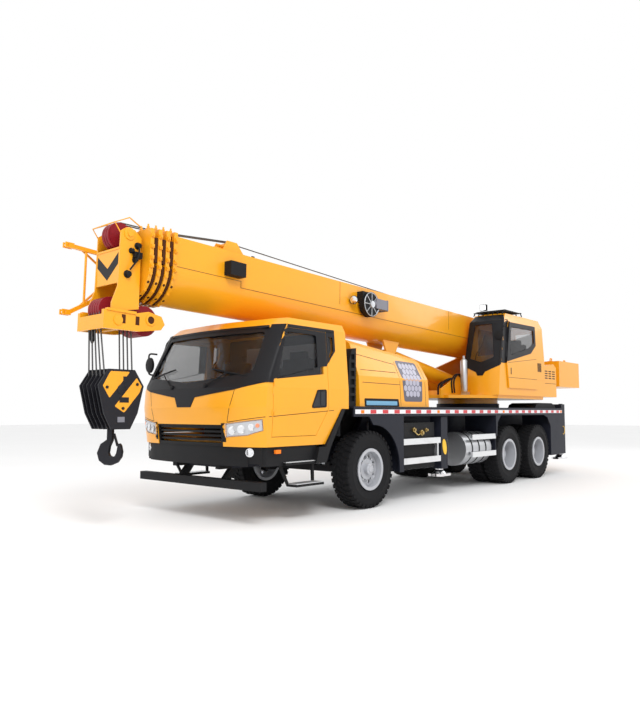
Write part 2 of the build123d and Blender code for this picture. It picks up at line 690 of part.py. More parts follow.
# --- engine hood --------------------------------------------------------------
def engine_hood():
    """The hood behind the cab, its sides leaning in, with a raised rear part."""
    def ring(x, z_top, half_top, wall=0):
        base = FULL_W / 2 - 65 - wall
        half_top -= wall
        z_top -= wall
        pts = [(-base, DECK_TOP), (base, DECK_TOP), (base - 20, 1850 - wall / 2),
               (half_top, z_top - 60), (half_top - 80, z_top), (-half_top + 80, z_top),
               (-half_top, z_top - 60), (-base + 20, 1850 - wall / 2)]
        return across("X", x) * Wire(Polyline(*pts, close=True).edges())
    outer = Solid.make_loft([ring(HOOD_REAR_X, 2190, 1000), ring(HOOD_FRONT_X, 2370, 1000)],
                            ruled=True)
    wall = 24
    inner = Solid.make_loft([ring(HOOD_REAR_X + wall, 2190, 1000, wall),
                             ring(HOOD_FRONT_X - wall, 2370, 1000, wall)], ruled=True)
    save("engine_hood", outer - inner)
    frame_pts = [(300, DECK_TOP), (470, DECK_TOP), (440, 2050), (380, 2210), (285, 2230)]
    intake = prism(frame_pts, "Y", -1150, 1150)
    for n in range(6):
        z = 1490 + n * 115
        for s in (1, -1):
            y0, y1 = sorted((s * 1151, s * 1120))
            intake -= block(325, 425 - n * 4, y0, y1, z, z + 75)
    save("air_intake_panel", intake)
    motor = block(-1250, 150, -300, 300, RAIL_BOTTOM + 20, 1900)
    for s in (1, -1):
        motor += block(-1150, -1050, s * 300, s * (RAIL_Y - RAIL_W / 2), 850, 950)
    save("engine", motor)


# --- superstructure -----------------------------------------------------------
def turntable():
    """Base plate, slewing ring's upper race, two cheeks that hold the boom, and a tail."""
    base = prism([(-3250, -560), (-3250, 560), (-4000, 1180), (-6100, 1180), (-6700, 900),
                  (-6700, -900), (-6100, -1180), (-4000, -1180)], "Z", TURN_Z, TURN_Z + TURN_T)
    race = Pos(SLEW_X, 0, TURN_Z - 42) * Cylinder(SLEW_R - 25, 95)
    body = base + race
    cheek = [(-3150, TURN_Z), (-3150, 1760), (-4100, 2150), (-5300, 2500), (-6020, 2960),
             (-6120, 3030), (-6290, 3030), (-6400, 2960), (-6700, 2420), (CW_FRONT_X - 20, 2380),
             (CW_FRONT_X - 20, 1950), (-6600, TURN_Z)]
    for s in (1, -1):
        y0, y1 = sorted((s * CHEEK_Y, s * (CHEEK_Y + CHEEK_T)))
        body += prism(cheek, "Y", y0, y1)
        hub0, hub1 = sorted((s * CHEEK_Y, s * (CHEEK_Y + CHEEK_T + 25)))
        body += disc(FOOT_X, FOOT_Z_PIN, 130, hub0, hub1)
    body += disc(FOOT_X, FOOT_Z_PIN, FOOT_PIN_R, -CHEEK_Y - 90, CHEEK_Y + 90)
    # Cross walls between the cheeks, and the ears of the lift cylinder.
    body += block(-3700, -3680, -CHEEK_Y, CHEEK_Y, TURN_Z, 1760)
    body += block(-5600, -5570, -CHEEK_Y, CHEEK_Y, TURN_Z, 2150)
    body += block(CW_FRONT_X - 20, CW_FRONT_X + 20, -CHEEK_Y, CHEEK_Y, 1950, 2200)
    ear = [(LIFT_BASE[0] - 150, TURN_Z), (LIFT_BASE[0] + 150, TURN_Z),
           (LIFT_BASE[0] + 90, LIFT_BASE[1] + 60), (LIFT_BASE[0], LIFT_BASE[1] + 100),
           (LIFT_BASE[0] - 90, LIFT_BASE[1] + 60)]
    for s in (1, -1):
        y0, y1 = sorted((s * EAR_Y, s * (EAR_Y + EAR_T)))
        body += prism(ear, "Y", y0, y1)
    body += disc(LIFT_BASE[0], LIFT_BASE[1], LIFT_PIN_R, -EAR_Y - 60, EAR_Y + 60)
    save("turntable", body)
    # Winches between the cheeks behind the boom's foot, and the tank on the right.
    drums = []
    for x in (-6560, -5950):
        drum = disc(x, 1990 if x < -6200 else 1960, 150, -300, 300)
        for s in (1, -1):
            drum += disc(x, 1990 if x < -6200 else 1960, 215, *sorted((s * 300, s * 330)))
            drum += disc(x, 1990 if x < -6200 else 1960, 70, *sorted((s * 330, s * CHEEK_Y)))
        drums.append(drum)
    save("winches", drums)
    tank = prism([(-4250, -1180), (-4250, -520), (-6050, -520), (-6050, -1180)], "Z",
                 TURN_Z + TURN_T, 2260, radius=40)
    cover = prism([(-6115, TURN_Z + TURN_T), (-6115, 2300), (-6700, 2380), (-6840, 2300),
                   (-6840, TURN_Z + TURN_T)], "Y", OP_IN_Y, 1180)
    tank -= prism([(-4256, -1174), (-4256, -526), (-6044, -526), (-6044, -1174)], "Z",
                  TURN_Z + TURN_T + 6, 2254, radius=34)
    save("superstructure_covers", tank, cover)


def counterweight():
    """The tail: a heavy block with a round rear, clear of the hood as it turns."""
    straight = sqrt(TAIL_R ** 2 - CW_HALF ** 2)
    edges = [Line((CW_FRONT_X - 20, CW_HALF), (CW_FRONT_X - 20, -CW_HALF)),
             Line((CW_FRONT_X - 20, -CW_HALF), (SLEW_X - straight, -CW_HALF)),
             ThreePointArc((SLEW_X - straight, -CW_HALF), (SLEW_X - TAIL_R, 0),
                           (SLEW_X - straight, CW_HALF)),
             Line((SLEW_X - straight, CW_HALF), (CW_FRONT_X - 20, CW_HALF))]
    plan = across("Z", CW_BOTTOM) * make_face(edges)
    save("counterweight", extrude(plan, amount=CW_TOP - CW_BOTTOM))


OP_FRONT_X = -3880
OP_REAR_X = -6100
OP_IN_Y = 485
OP_OUT_Y = 1225
OP_ROWS = (
    # z, front, rear, outer side
    (TURN_Z + TURN_T, -3880, -6100, 1225),
    (2300, -3960, -6110, 1225),
    (3100, -4190, -6060, 1200),
    (3260, -4420, -6020, 1130),
)
OP_WALL = 45
OP_DOOR = [(-4330, 1800), (-4250, 2300), (-4400, 3080), (-5640, 3100), (-5640, 1800)]
OP_WINDOW = [(-4330, 2400), (-4440, 3030), (-5580, 3050), (-5580, 2720), (-5350, 2600)]
OP_SCREEN = [(560, 2330), (860, 2230), (1150, 2330), (1130, 3080), (580, 3080)]
OP_DOOR_GAP = 5


def op_size(z):
    for (z0, *a), (z1, *b) in zip(OP_ROWS, OP_ROWS[1:]):
        if z <= z1:
            t = (z - z0) / (z1 - z0)
            return [p + (q - p) * t for p, q in zip(a, b)]
    return list(OP_ROWS[-1][1:])


def op_wire(z, inset):
    front, rear, out = op_size(z)
    front, rear, out, inner = front - inset, rear + inset, out - inset, OP_IN_Y + inset
    bow = 60
    edges = [Line((rear, inner), (front - bow, inner)),
             ThreePointArc((front - bow, inner), (front, (inner + out) / 2), (front - bow, out)),
             Line((front - bow, out), (rear, out)),
             Line((rear, out), (rear, inner))]
    return Pos(0, 0, z) * Wire(edges)


def op_body(inset, bottom, top):
    levels = [bottom] + [row[0] for row in OP_ROWS if bottom < row[0] < top] + [top]
    return Solid.make_loft([op_wire(z, inset) for z in levels], ruled=True)


def operator_cab():
    """The crane operator's cab, on the left of the boom."""
    shell = op_body(0, OP_ROWS[0][0], OP_ROWS[-1][0])
    shell -= op_body(OP_WALL, OP_ROWS[0][0] + 100, OP_ROWS[-1][0] - 40)
    pane = op_body(15, 1700, 3240) - op_body(15 + GLASS_T, 1700, 3240)
    screen = prism(OP_SCREEN, "X", -4600, -3700, radius=40)
    window = prism(OP_WINDOW, "Y", 1100, 1300)
    opening = prism(OP_DOOR, "Y", 1100, 1300)
    inner_window = prism([(-4500, 2450), (-4500, 3000), (-5700, 3000), (-5700, 2600)], "Y",
                         OP_IN_Y - 20, OP_IN_Y + 80, radius=40)
    rear_window = block(OP_REAR_X - 50, OP_REAR_X + 120, 620, 1080, 2500, 3000)
    cab = shell - screen - opening - inner_window - rear_window
    panes = [pane & screen, pane & inner_window, pane & rear_window]
    # The door hangs on the outer face and slides rearward along it.
    door = (op_body(-30, 1700, 3200) - op_body(-OP_DOOR_GAP, 1700, 3200)) & opening
    door_pane = (op_body(-15, 1700, 3200) - op_body(-6, 1700, 3200)) & window
    rail = block(-6080, -4400, OP_OUT_Y, OP_OUT_Y + OP_DOOR_GAP - PAD_GAP, 2000, 2030)
    save("operator_cab", cab, rail)
    save("operator_cab_glass", panes)
    save("operator_door", door - window)
    save("operator_door_glass", door_pane)
    keep = op_body(OP_WALL, OP_ROWS[0][0] + 100, OP_ROWS[-1][0] - 40)
    chair = seat(-5150, 860, OP_ROWS[0][0] + 100, OP_ROWS[0][0] + 100)
    consoles = block(-5350, -4750, 560, 620, 1765, 2300) + block(-5350, -4750, 1100, 1160, 1765, 2200)
    save("operator_cab_interior", chair & keep, consoles & keep)


# --- boom ---------------------------------------------------------------------
def section_face(radius, top, u):
    """The boom's outline: flat top and sides over a round belly."""
    edges = [Line((radius, top), (-radius, top)),
             Line((-radius, top), (-radius, ARC_W)),
             ThreePointArc((-radius, ARC_W), (0, ARC_W - radius), (radius, ARC_W)),
             Line((radius, ARC_W), (radius, top))]
    return across("X", u) * make_face(edges)


def section_tube(radius, top, wall, u0, u1):
    outer = extrude(section_face(radius, top, u0), amount=u1 - u0)
    inner = extrude(section_face(radius - wall, top - wall, u0), amount=u1 - u0)
    return outer - inner


def section_size(n):
    """Radius and top of the n-th section, the base being 1."""
    return SECTION_R - SECTION_STEP * (n - 1), SECTION_TOP - SECTION_STEP * (n - 1)


def front_pads(n, u):
    """Wear pads at the mouth of section n that carry the next one."""
    wall = BASE_WALL if n == 1 else SECTION_WALL
    radius, top = section_size(n)
    r_in, top_in = radius - wall, top - wall
    r_next, top_next = section_size(n + 1)
    ring = extrude(section_face(r_in, top_in, u - 260), amount=200)
    ring -= extrude(section_face(r_next + PAD_GAP, top_next + PAD_GAP, u - 260), amount=200)
    keep = prism([(-r_in, -radius), (-r_in, -radius * 0.35), (-60, -radius * 0.75),
                                 (-60, -radius * 1.3)], "X", u - 260, u - 60)
    keep += prism([(r_in, -radius), (r_in, -radius * 0.35), (60, -radius * 0.75),
                   (60, -radius * 1.3)], "X", u - 260, u - 60)
    keep += block(u - 260, u - 60, -120, 120, top_next, top_in + 1)
    return ring & keep


def collar(n, u):
    """The stiffening frame at the mouth of section n."""
    radius, top = section_size(n)
    outer_r = SECTION_R + COLLAR_RIM - 6 * (n - 1)
    outer_top = SECTION_TOP + COLLAR_RIM - 6 * (n - 1)
    wall = BASE_WALL if n == 1 else SECTION_WALL
    frame = extrude(section_face(outer_r, outer_top, u), amount=COLLAR_T)
    frame -= extrude(section_face(radius - wall, top - wall, u), amount=COLLAR_T)
    return frame


def collar_u(n):
    return COLLAR_U + COLLAR_PITCH * (n - 1)


def boom_sections():
    for n in range(1, 5):
        radius, top = section_size(n)
        wall = BASE_WALL if n == 1 else SECTION_WALL
        rear = BASE_REAR_U if n == 1 else SECTION_REAR_U + SECTION_REAR_STEP * (n - 2)
        front = collar_u(n)
        tube = section_tube(radius, top, wall, rear, front + COLLAR_T) + collar(n, front)
        tube += front_pads(n, front)
        if n == 1:
            tube = base_fittings(tube)
            save("boom_base", boom_place() * tube)
        else:
            save(f"boom_section_{n}", boom_place() * tube)


def base_fittings(tube):
    """Foot bosses, the lift cylinder's ears, and the brackets of the stowed jib."""
    for s in (1, -1):
        y0, y1 = sorted((s * (SECTION_R - 12), s * (CHEEK_Y - 6)))
        tube += disc(0, 0, 120, y0, y1)
    tube -= disc(0, 0, FOOT_PIN_R + 0.3, -CHEEK_Y, CHEEK_Y)
    eye_u, eye_w = to_boom(*LIFT_EYE)
    ear = [(eye_u - 260, ARC_W - 300), (eye_u + 260, ARC_W - 300), (eye_u + 110, eye_w - 20),
           (eye_u + 60, eye_w - 95), (eye_u - 60, eye_w - 95), (eye_u - 110, eye_w - 20)]
    inside = extrude(section_face(SECTION_R - BASE_WALL, SECTION_TOP - BASE_WALL, eye_u - 400),
                     amount=800)
    for s in (1, -1):
        y0, y1 = sorted((s * EAR_Y, s * (EAR_Y + EAR_T)))
        tube += prism(ear, "Y", y0, y1) - inside
    return tube


def boom_head():
    """The innermost section with the head that carries the sheaves."""
    n = 5
    radius, top = section_size(n)
    rear = SECTION_REAR_U + SECTION_REAR_STEP * (n - 2)
    u0 = HEAD_U
    u1 = HEAD_FRONT
    head = section_tube(radius, top, SECTION_WALL, rear, u0 + 30)
    plate = [(u0, -530), (u0, 300), (u0 + 90, 380), (u0 + 200, 390), (u1, 340), (u1 + 10, -300),
             (u1 + 80, -500), (u1 + 80, -600)]
    for s in (1, -1):
        y0, y1 = sorted((s * (HEAD_HALF - HEAD_PLATE), s * HEAD_HALF))
        head += prism(plate, "Y", y0, y1)
    inside = HEAD_HALF - HEAD_PLATE
    back = block(u0, u0 + HEAD_PLATE, -inside, inside, -440, 130)
    back -= extrude(section_face(radius - SECTION_WALL, top - SECTION_WALL, u0 - 5), amount=40)
    head += back
    head += block(u1 - HEAD_PLATE, u1, -inside, inside, -260, 130)
    # The lower frame: two long side beams round the front and rear sheave groups.
    beam = [(u0 - 350, -670), (u0 - 300, -580), (u0 - 120, -545), (u0 + 60, -590),
            (u1 + FRAME_REACH, -590), (u1 + FRAME_REACH, -FRAME_LOW), (u0, -790), (u0 - 300, -740)]
    for s in (1, -1):
        y0, y1 = sorted((s * (HEAD_HALF - HEAD_PLATE), s * (HEAD_HALF + 25)))
        head += prism(beam, "Y", y0, y1)
    head += block(u1 + FRAME_REACH - 25, u1 + FRAME_REACH, -inside, inside, -FRAME_LOW, -640)
    pin_u, pin_w = to_boom(*HOOK_PIN)
    head += disc(pin_u, pin_w, HOOK_PIN_R, -inside - 5, inside + 5)
    save("boom_section_5", boom_place() * head)
    red = []
    for du, w, r, half in SHEAVES:
        u = u0 + du
        group = disc(u, w, SHEAVE_AXLE_R, -inside + PAD_GAP, inside - PAD_GAP)
        count = max(2, round(half / 22))
        pitch = 2 * half / count
        for k in range(count):
            y = -half + pitch * (k + 0.5)
            group += disc(u, w, r, y - pitch * 0.4, y + pitch * 0.4)
            group += disc(u, w, r - 22, y - pitch * 0.5, y + pitch * 0.5)
        red.append(boom_place() * group)
    save("head_sheaves", red)


def boom_fittings():
    """Cable reel, work lamp and control box on the boom's left side, guide on top."""
    y = SECTION_R + PAD_GAP
    reel_u, reel_w = to_boom(-930, 3060)
    reel = disc(reel_u, reel_w, 200, y + 40, y + 150) + disc(reel_u, reel_w, 60, y, y + 40)
    reel += block(reel_u - 80, reel_u + 200, y, y + 120, reel_w + 40, reel_w + 190)
    box_u, box_w = to_boom(1900, 3170)
    box = block(box_u - 130, box_u + 130, y, y + 130, box_w - 90, box_w + 90)
    top = SECTION_TOP + PAD_GAP
    guide_u = to_boom(1300, 3400)[0]
    guide = block(guide_u - 60, guide_u + 60, -140, 140, top, top + 30)
    guide += disc(guide_u, top + 60, 35, -120, 120)
    for s in (1, -1):
        guide += block(guide_u - 25, guide_u + 25, *sorted((s * 120, s * 135)), top, top + 100)
    save("boom_fittings", boom_place() * reel, boom_place() * box, boom_place() * guide)


def lattice_jib():
    """The stowed jib on the boom's right side: two main chords, a third outside, and lacing."""
    u_root, u_tip = HEAD_FRONT + FRAME_REACH - 110, to_boom(-3600, 2900)[0]
    chord, lace = 48, 15
    near_y, far_y = -720, -1010
    root, body, tip = (-520, 300), (-120, 270), (-60, 200)
    u_body = u_root - 640
    bays = 10
    step = (u_tip - u_root + 300) / bays

    def level(u):
        """Heights of the lower, middle and upper chord."""
        if u > u_body:
            t, ends = (u - u_root) / (u_body - u_root), (root, body)
        else:
            t, ends = (u - u_body) / (u_tip - u_body), (body, tip)
        low, high = (ends[0][k] + (ends[1][k] - ends[0][k]) * t for k in (0, 1))
        return low, (low + high) / 2, high

    def at(u, which):
        y = far_y if which == 1 else near_y
        return u, y, level(u)[which]

    third = u_root - 700
    jib = strut(at(u_root, 2), at(u_body - 20, 2), chord) + strut(at(u_body + 20, 2), at(u_tip, 2), chord)
    jib += strut(at(u_root, 0), at(u_body - 20, 0), chord) + strut(at(u_body + 20, 0), at(u_tip, 0), chord)
    jib += strut(at(third, 1), at(u_tip + 100, 1), chord)
    for which in (0, 2):
        jib += bar(at(third - 40, 1), at(u_root - 120, which), lace)
    for n in range(bays + 1):
        u = u_root - 200 + step * n
        jib += bar(at(u, 0), at(u, 2), lace)
        if n < bays:
            jib += bar(at(u - 70, 0), at(u + step + 70, 2), lace)
        if u_tip + 260 < u < third - 40:
            jib += bar(at(u - 100, 0), at(u - 100, 1), lace)
            jib += bar(at(u - 150, 2), at(u - 150, 1), lace)
    # Root lugs with their pin bores.
    for which in (0, 2):
        u, y, w = at(u_root, which)
        for s in (1, -1):
            lug = block(u - 20, u + 90, y + s * 30 - 9, y + s * 30 + 9, w - 32, w + 32)
            jib += lug
        jib += block(u - 20, u + 10, y - 30, y + 30, w - 30, w + 30)
        jib -= disc(u + 58, w, 17, y - 50, y + 50)
    # Brackets that hold it to the boom's side.
    for u in (to_boom(2300, 0)[0], to_boom(-2200, 0)[0]):
        low, middle, high = level(u)
        for w in (low, high):
            jib += block(u - 30, u + 30, near_y, -SECTION_R - PAD_GAP, w - 20, w + 20)
        jib += block(u - 30, u + 30, -SECTION_R - 20, -SECTION_R - PAD_GAP, low - 20, high + 20)
    save("lattice_jib", boom_place() * jib)


def lift_cylinder():
    """A barrel on the turntable's pin and a rod to the boom's ears."""
    bx, bz = LIFT_BASE
    ex, ez = LIFT_EYE
    length = hypot(ex - bx, ez - bz)
    angle = degrees(atan2(ez - bz, ex - bx))
    place = Pos(bx, 0, bz) * Rot(0, -angle, 0)
    end = length - 230
    wall = 25
    half = EAR_Y - 6
    barrel = bar((110, 0, 0), (end, 0, 0), LIFT_BARREL_R)
    barrel -= bar((200, 0, 0), (end - 60, 0, 0), LIFT_BARREL_R - wall)
    barrel -= bar((200, 0, 0), (end + 1, 0, 0), LIFT_ROD_R + 0.3)
    barrel += disc(0, 0, 115, -half, half)
    barrel += block(0, 130, -90, 90, -100, 100)
    barrel -= disc(0, 0, LIFT_PIN_R + 0.3, -EAR_Y, EAR_Y)
    rod = bar((260, 0, 0), (length - 60, 0, 0), LIFT_ROD_R)
    rod += bar((260, 0, 0), (330, 0, 0), LIFT_BARREL_R - wall - PAD_GAP)
    rod += disc(length, 0, LIFT_EYE_R, -half + 40, half - 40)
    rod += disc(length, 0, LIFT_PIN_R, -half, half)
    save("lift_cylinder_barrel", place * barrel)
    save("lift_cylinder_rod", place * rod)


def hook_block():
    """Cheek plates and sheaves on one axle, the crosshead, the hook and the falls of rope."""
    x, z = HOOK_PIN[0], HOOK_SHEAVE_Z
    low = z - BLOCK_DROP
    outline = [(x - 170, z + BLOCK_RISE), (x + 170, z + BLOCK_RISE), (x + BLOCK_HALF, z + 40),
               (x + 215, z - 270), (x + 120, low), (x - 120, low), (x - 215, z - 270),
               (x - BLOCK_HALF, z + 40)]
    outer = ROPE_Y + SHEAVE_PITCH / 8
    plates = [(-outer - BLOCK_PLATE, -outer), (outer, outer + BLOCK_PLATE)]
    for n in range(-1, 3):
        y = (n - 0.5) * SHEAVE_PITCH
        plates.append((y - BLOCK_PLATE / 4, y + BLOCK_PLATE / 4))
    body = disc(x, z, 40, -outer - BLOCK_PLATE, outer + BLOCK_PLATE)
    for y0, y1 in plates:
        body += prism(outline, "Y", y0, y1)
    for n in range(-2, 3):
        y = n * SHEAVE_PITCH
        body += disc(x, z, BLOCK_SHEAVE_R - ROPE_R - PAD_GAP, y - 15, y + 15)
        for side in (1, -1):
            body += disc(x, z, BLOCK_SHEAVE_R + ROPE_R, *sorted((y + side * 11, y + side * 16)))
    body += block(x - 110, x + 110, -outer, outer, low + 10, low + 90)
    hook = prism(hook_outline(low), "Y", -HOOK_T / 2, HOOK_T / 2, radius=11)
    faces = hook.faces().filter_by(Axis.Y)
    hook = fillet(faces.edges(), HOOK_EASE)
    hook += prism([(30, low - 52), (50, low - 48), (94, low - 190), (72, low - 196)], "Y", -14, 14)
    save("hook_block", body + Pos(x, 0, 0) * Rot(0, 0, HOOK_TURN) * hook)
    # Two falls on each outer sheave, from its tangents up to an eye on the head's pin.
    lean = asin((BLOCK_SHEAVE_R - ROPE_PITCH / 2) / (HOOK_PIN[1] - z))
    ropes = []
    for side in (1, -1):
        y = side * ROPE_Y
        pair = disc(x, HOOK_PIN[1], ROPE_PITCH / 2 + ROPE_R, y - ROPE_PITCH / 4, y + ROPE_PITCH / 4)
        for way in (1, -1):
            foot = (x + way * BLOCK_SHEAVE_R * cos(lean), y, z + BLOCK_SHEAVE_R * sin(lean))
            pair += bar(foot, (x + way * ROPE_PITCH / 2, y, HOOK_PIN[1]), ROPE_R)
        bore = disc(x, HOOK_PIN[1], HOOK_PIN_R + PAD_GAP, y - ROPE_PITCH / 4, y + ROPE_PITCH / 4)
        ropes.append(pair - bore)
    save("hoist_ropes", ropes)


def hook_outline(low):
    """The hook below its crosshead, the mouth towards positive x."""
    z = low - HOOK_SINK
    return [(-32, low + 30), (-34, z + 150), (-105, z + 100), (-143, z), (-120, z - 85),
            (-55, z - 135), (20, z - 142), (90, z - 112), (134, z - 50), (143, z + 10),
            (128, z + 80), (108, z + 112), (92, z + 95), (84, z + 40), (76, z - 4), (58, z - 38),
            (30, z - 46), (2, z - 32), (-10, z), (0, z + 70), (30, z + 140), (32, low + 30)]


wheels()
axles()
for side_sign, side_word in ((1, "left"), (-1, "right")):
    knuckle(side_sign, side_word)
chassis_frame()
chassis_deck()
side_equipment()
outriggers()
driver_cab()
cab_interior()
front_end()
headlamps()
engine_hood()
turntable()
counterweight()
operator_cab()
boom_sections()
boom_head()
boom_fittings()
lattice_jib()
lift_cylinder()
hook_block()
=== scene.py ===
import json
from math import atan2, cos, pi, radians, sin, tan

import bmesh
import bpy
from mathutils import Matrix, Vector
from mathutils.bvhtree import BVHTree


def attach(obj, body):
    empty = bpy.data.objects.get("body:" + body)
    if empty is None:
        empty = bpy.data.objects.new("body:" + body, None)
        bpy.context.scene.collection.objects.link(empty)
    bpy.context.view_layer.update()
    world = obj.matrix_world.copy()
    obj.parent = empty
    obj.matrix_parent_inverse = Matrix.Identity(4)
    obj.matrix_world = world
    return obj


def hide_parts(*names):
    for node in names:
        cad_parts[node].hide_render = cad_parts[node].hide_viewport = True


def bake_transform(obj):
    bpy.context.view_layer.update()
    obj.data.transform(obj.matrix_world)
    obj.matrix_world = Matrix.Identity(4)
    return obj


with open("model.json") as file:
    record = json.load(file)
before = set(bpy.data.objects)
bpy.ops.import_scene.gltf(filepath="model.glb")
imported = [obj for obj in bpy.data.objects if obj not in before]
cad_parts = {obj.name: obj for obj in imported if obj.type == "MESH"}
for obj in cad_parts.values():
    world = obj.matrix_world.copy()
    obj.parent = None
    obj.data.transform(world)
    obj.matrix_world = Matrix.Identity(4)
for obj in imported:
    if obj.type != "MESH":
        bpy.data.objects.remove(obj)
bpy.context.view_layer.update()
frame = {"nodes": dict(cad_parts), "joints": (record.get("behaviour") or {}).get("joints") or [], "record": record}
JOINTS = {joint["name"]: joint for joint in frame["joints"]}
AXLE_X = JOINTS["roll_front_left"]["pos_m"][0]   # the front axle: x is counted from it below
SIDES = (("left", 1), ("right", -1))
LEFT = (0, 1, 0)


# --- camera, light and floor ---------------------------------------------------
def look_along(seat, direction):
    seat.rotation_euler = Vector(direction).to_track_quat("-Z", "Y").to_euler()


def camera():
    """Stands ahead of the front left corner, a little below a standing person's eyes."""
    data = bpy.data.cameras.new("camera")
    data.sensor_width = 36
    data.sensor_fit = "HORIZONTAL"
    data.lens = 37.125
    data.clip_end = 200
    seat = bpy.data.objects.new("camera", data)
    yaw, pitch = radians(40.94), radians(4.16)
    look_along(seat, (-cos(yaw) * cos(pitch), -sin(yaw) * cos(pitch), sin(pitch)))
    seat.location = (AXLE_X + 7.52, 6.76, 1.35)
    bpy.context.scene.collection.objects.link(seat)
    bpy.context.scene.camera = seat


def soft_lamp(name, place, target, size, power):
    data = bpy.data.lights.new(name, "AREA")
    data.shape = "DISK"
    data.size = size
    data.energy = power
    seat = bpy.data.objects.new(name, data)
    seat.location = place
    look_along(seat, Vector(target) - Vector(place))
    bpy.context.scene.collection.objects.link(seat)


def studio():
    """A pale floor under a bright even sky, a high key light and two fills."""
    scene = bpy.context.scene
    scene.view_settings.view_transform = "Standard"
    world = bpy.data.worlds.new("studio")
    world.use_nodes = True
    world.node_tree.nodes["Background"].inputs["Color"].default_value = (1, 1, 1, 1)
    world.node_tree.nodes["Background"].inputs["Strength"].default_value = 1.0
    scene.world = world
    soft_lamp("key", (9, 9, 11), (1, 0, 1), 5, 950)
    soft_lamp("fill", (14, -6, 6), (3, 0, 1.5), 6, 250)
    soft_lamp("back", (-12, 6, 7), (-2, 0, 1.5), 6, 250)
    form = Form()
    form.box(-60, 60, -60, 60, -0.02, 0)
    floor = form.loose("floor", floor_paint())


# --- node trees ------------------------------------------------------------------
class Wire:
    """A node's output. Python's operators on it add Math nodes."""

    def __init__(self, owner, socket):
        self.owner, self.socket = owner, socket

    def maths(self, operation, first, second):
        return self.owner.node("ShaderNodeMath", {"operation": operation}, {0: first, 1: second})

    def __add__(self, other):
        return self.maths("ADD", self, other)

    def __radd__(self, other):
        return self.maths("ADD", other, self)

    def __sub__(self, other):
        return self.maths("SUBTRACT", self, other)

    def __rsub__(self, other):
        return self.maths("SUBTRACT", other, self)

    def __mul__(self, other):
        return self.maths("MULTIPLY", self, other)

    def __rmul__(self, other):
        return self.maths("MULTIPLY", other, self)

    def __rtruediv__(self, other):
        return self.maths("DIVIDE", other, self)


class Nodes:
    """A node tree, with its nodes made and fed in one call each."""

    def feed(self, socket, value):
        if isinstance(value, Wire):
            self.tree.links.new(value.socket, socket)
        elif hasattr(value, "__len__") and socket.type == "RGBA":
            socket.default_value = (*value[:3], 1)
        else:
            socket.default_value = value

    def node(self, kind, settings=(), inputs=(), output=0):
        made = self.tree.nodes.new(kind)
        for key, value in dict(settings).items():
            setattr(made, key, value)
        for key, value in dict(inputs).items():
            self.feed(made.inputs[key], value)
        return Wire(self, made.outputs[output])


class Paint(Nodes):
    """One procedural material on a Principled shader."""

    def __init__(self, name, **values):
        self.material = bpy.data.materials.new(name)
        self.material.use_nodes = True
        self.tree = self.material.node_tree
        self.shader = self.tree.nodes["Principled BSDF"]
        self.place = self.node("ShaderNodeTexCoord", output="Object")
        self.set(**values)

    def set(self, **values):
        """Principled inputs by name, with _ for a space."""
        for key, value in values.items():
            self.feed(self.shader.inputs[key.replace("_", " ")], value)

    def noise(self, scale, detail=3.0, stretch=(1, 1, 1)):
        where = self.node("ShaderNodeMapping", (), {"Vector": self.place, "Scale": stretch})
        return self.node("ShaderNodeTexNoise", (), {"Vector": where, "Scale": scale, "Detail": detail})

    def ramp(self, value, low, high):
        """0 below low, 1 above high."""
        return self.node("ShaderNodeMapRange", {"interpolation_type": "SMOOTHSTEP"},
                         {"Value": value, "From Min": low, "From Max": high})

    def mix(self, factor, first, second):
        return self.node("ShaderNodeMix", {"data_type": "RGBA"}, {0: factor, 6: first, 7: second}, 2)

    def bump(self, height, distance, strength):
        inputs = {"Height": height, "Distance": distance, "Strength": strength}
        self.set(Normal=self.node("ShaderNodeBump", (), inputs))


def floor_paint():
    paint = Paint("studio_floor", Roughness=0.9)
    paint.set(Base_Color=paint.mix(paint.noise(0.3), (0.86, 0.86, 0.86), (0.9, 0.9, 0.9)))
    return paint.material


def gloss_paint(name, colour, shade, roughness, coat, glint=0.5):
    """Sprayed enamel: faint clouding, orange peel and thin dust."""
    paint = Paint(name, Coat_Roughness=0.08, Specular_IOR_Level=glint)
    cloud = paint.noise(0.9, 4)
    dust = paint.ramp(paint.noise(6, 6), 0.45, 0.9) * 0.25
    tone = paint.mix(cloud, colour, shade)
    paint.set(Base_Color=paint.mix(dust, tone, [0.8 * c + 0.03 * glint for c in colour]),
              Roughness=roughness + 0.2 * dust + 0.05 * cloud, Coat_Weight=coat - 0.2 * dust)
    paint.bump(paint.noise(260, 2) + 6 * paint.noise(9, 3), 0.00025, 0.5)
    return paint.material


def grained(name, colour, roughness, scale=900, depth=0.0004):
    """Moulded plastic or rubber with a fine grain."""
    paint = Paint(name, Specular_IOR_Level=0.2)
    cloud = paint.noise(3, 4)
    paint.set(Base_Color=paint.mix(cloud, colour, [c * 1.4 for c in colour]),
              Roughness=roughness + 0.15 * (cloud - 0.5))
    paint.bump(paint.noise(scale, 4), depth, 0.6)
    return paint.material


def metal(name, colour, roughness, stretch=(1, 1, 1)):
    """Bare or plated metal with fine streaks."""
    paint = Paint(name, Metallic=1.0)
    streak = paint.noise(60, 5, stretch)
    stain = paint.ramp(paint.noise(4, 4), 0.5, 0.8)
    paint.set(Base_Color=paint.mix(stain * 0.35, colour, [c * 0.55 for c in colour]),
              Roughness=roughness + 0.25 * (streak - 0.5) + 0.12 * stain)
    paint.bump(streak, 0.0003, 0.4)
    return paint.material


def tinted_glass(name, colour, density):
    """A tinted pane: part see-through, part dark, with a clear gloss."""
    paint = Paint(name, Roughness=0.04, Metallic=0.0, Coat_Weight=0.6)
    film = paint.noise(1.7, 2)
    paint.set(Base_Color=paint.mix(film, colour, [c * 1.3 for c in colour]),
              Alpha=density + 0.06 * (film - 0.5))
    paint.bump(paint.noise(2.2, 1), 0.0015, 0.25)
    return paint.material


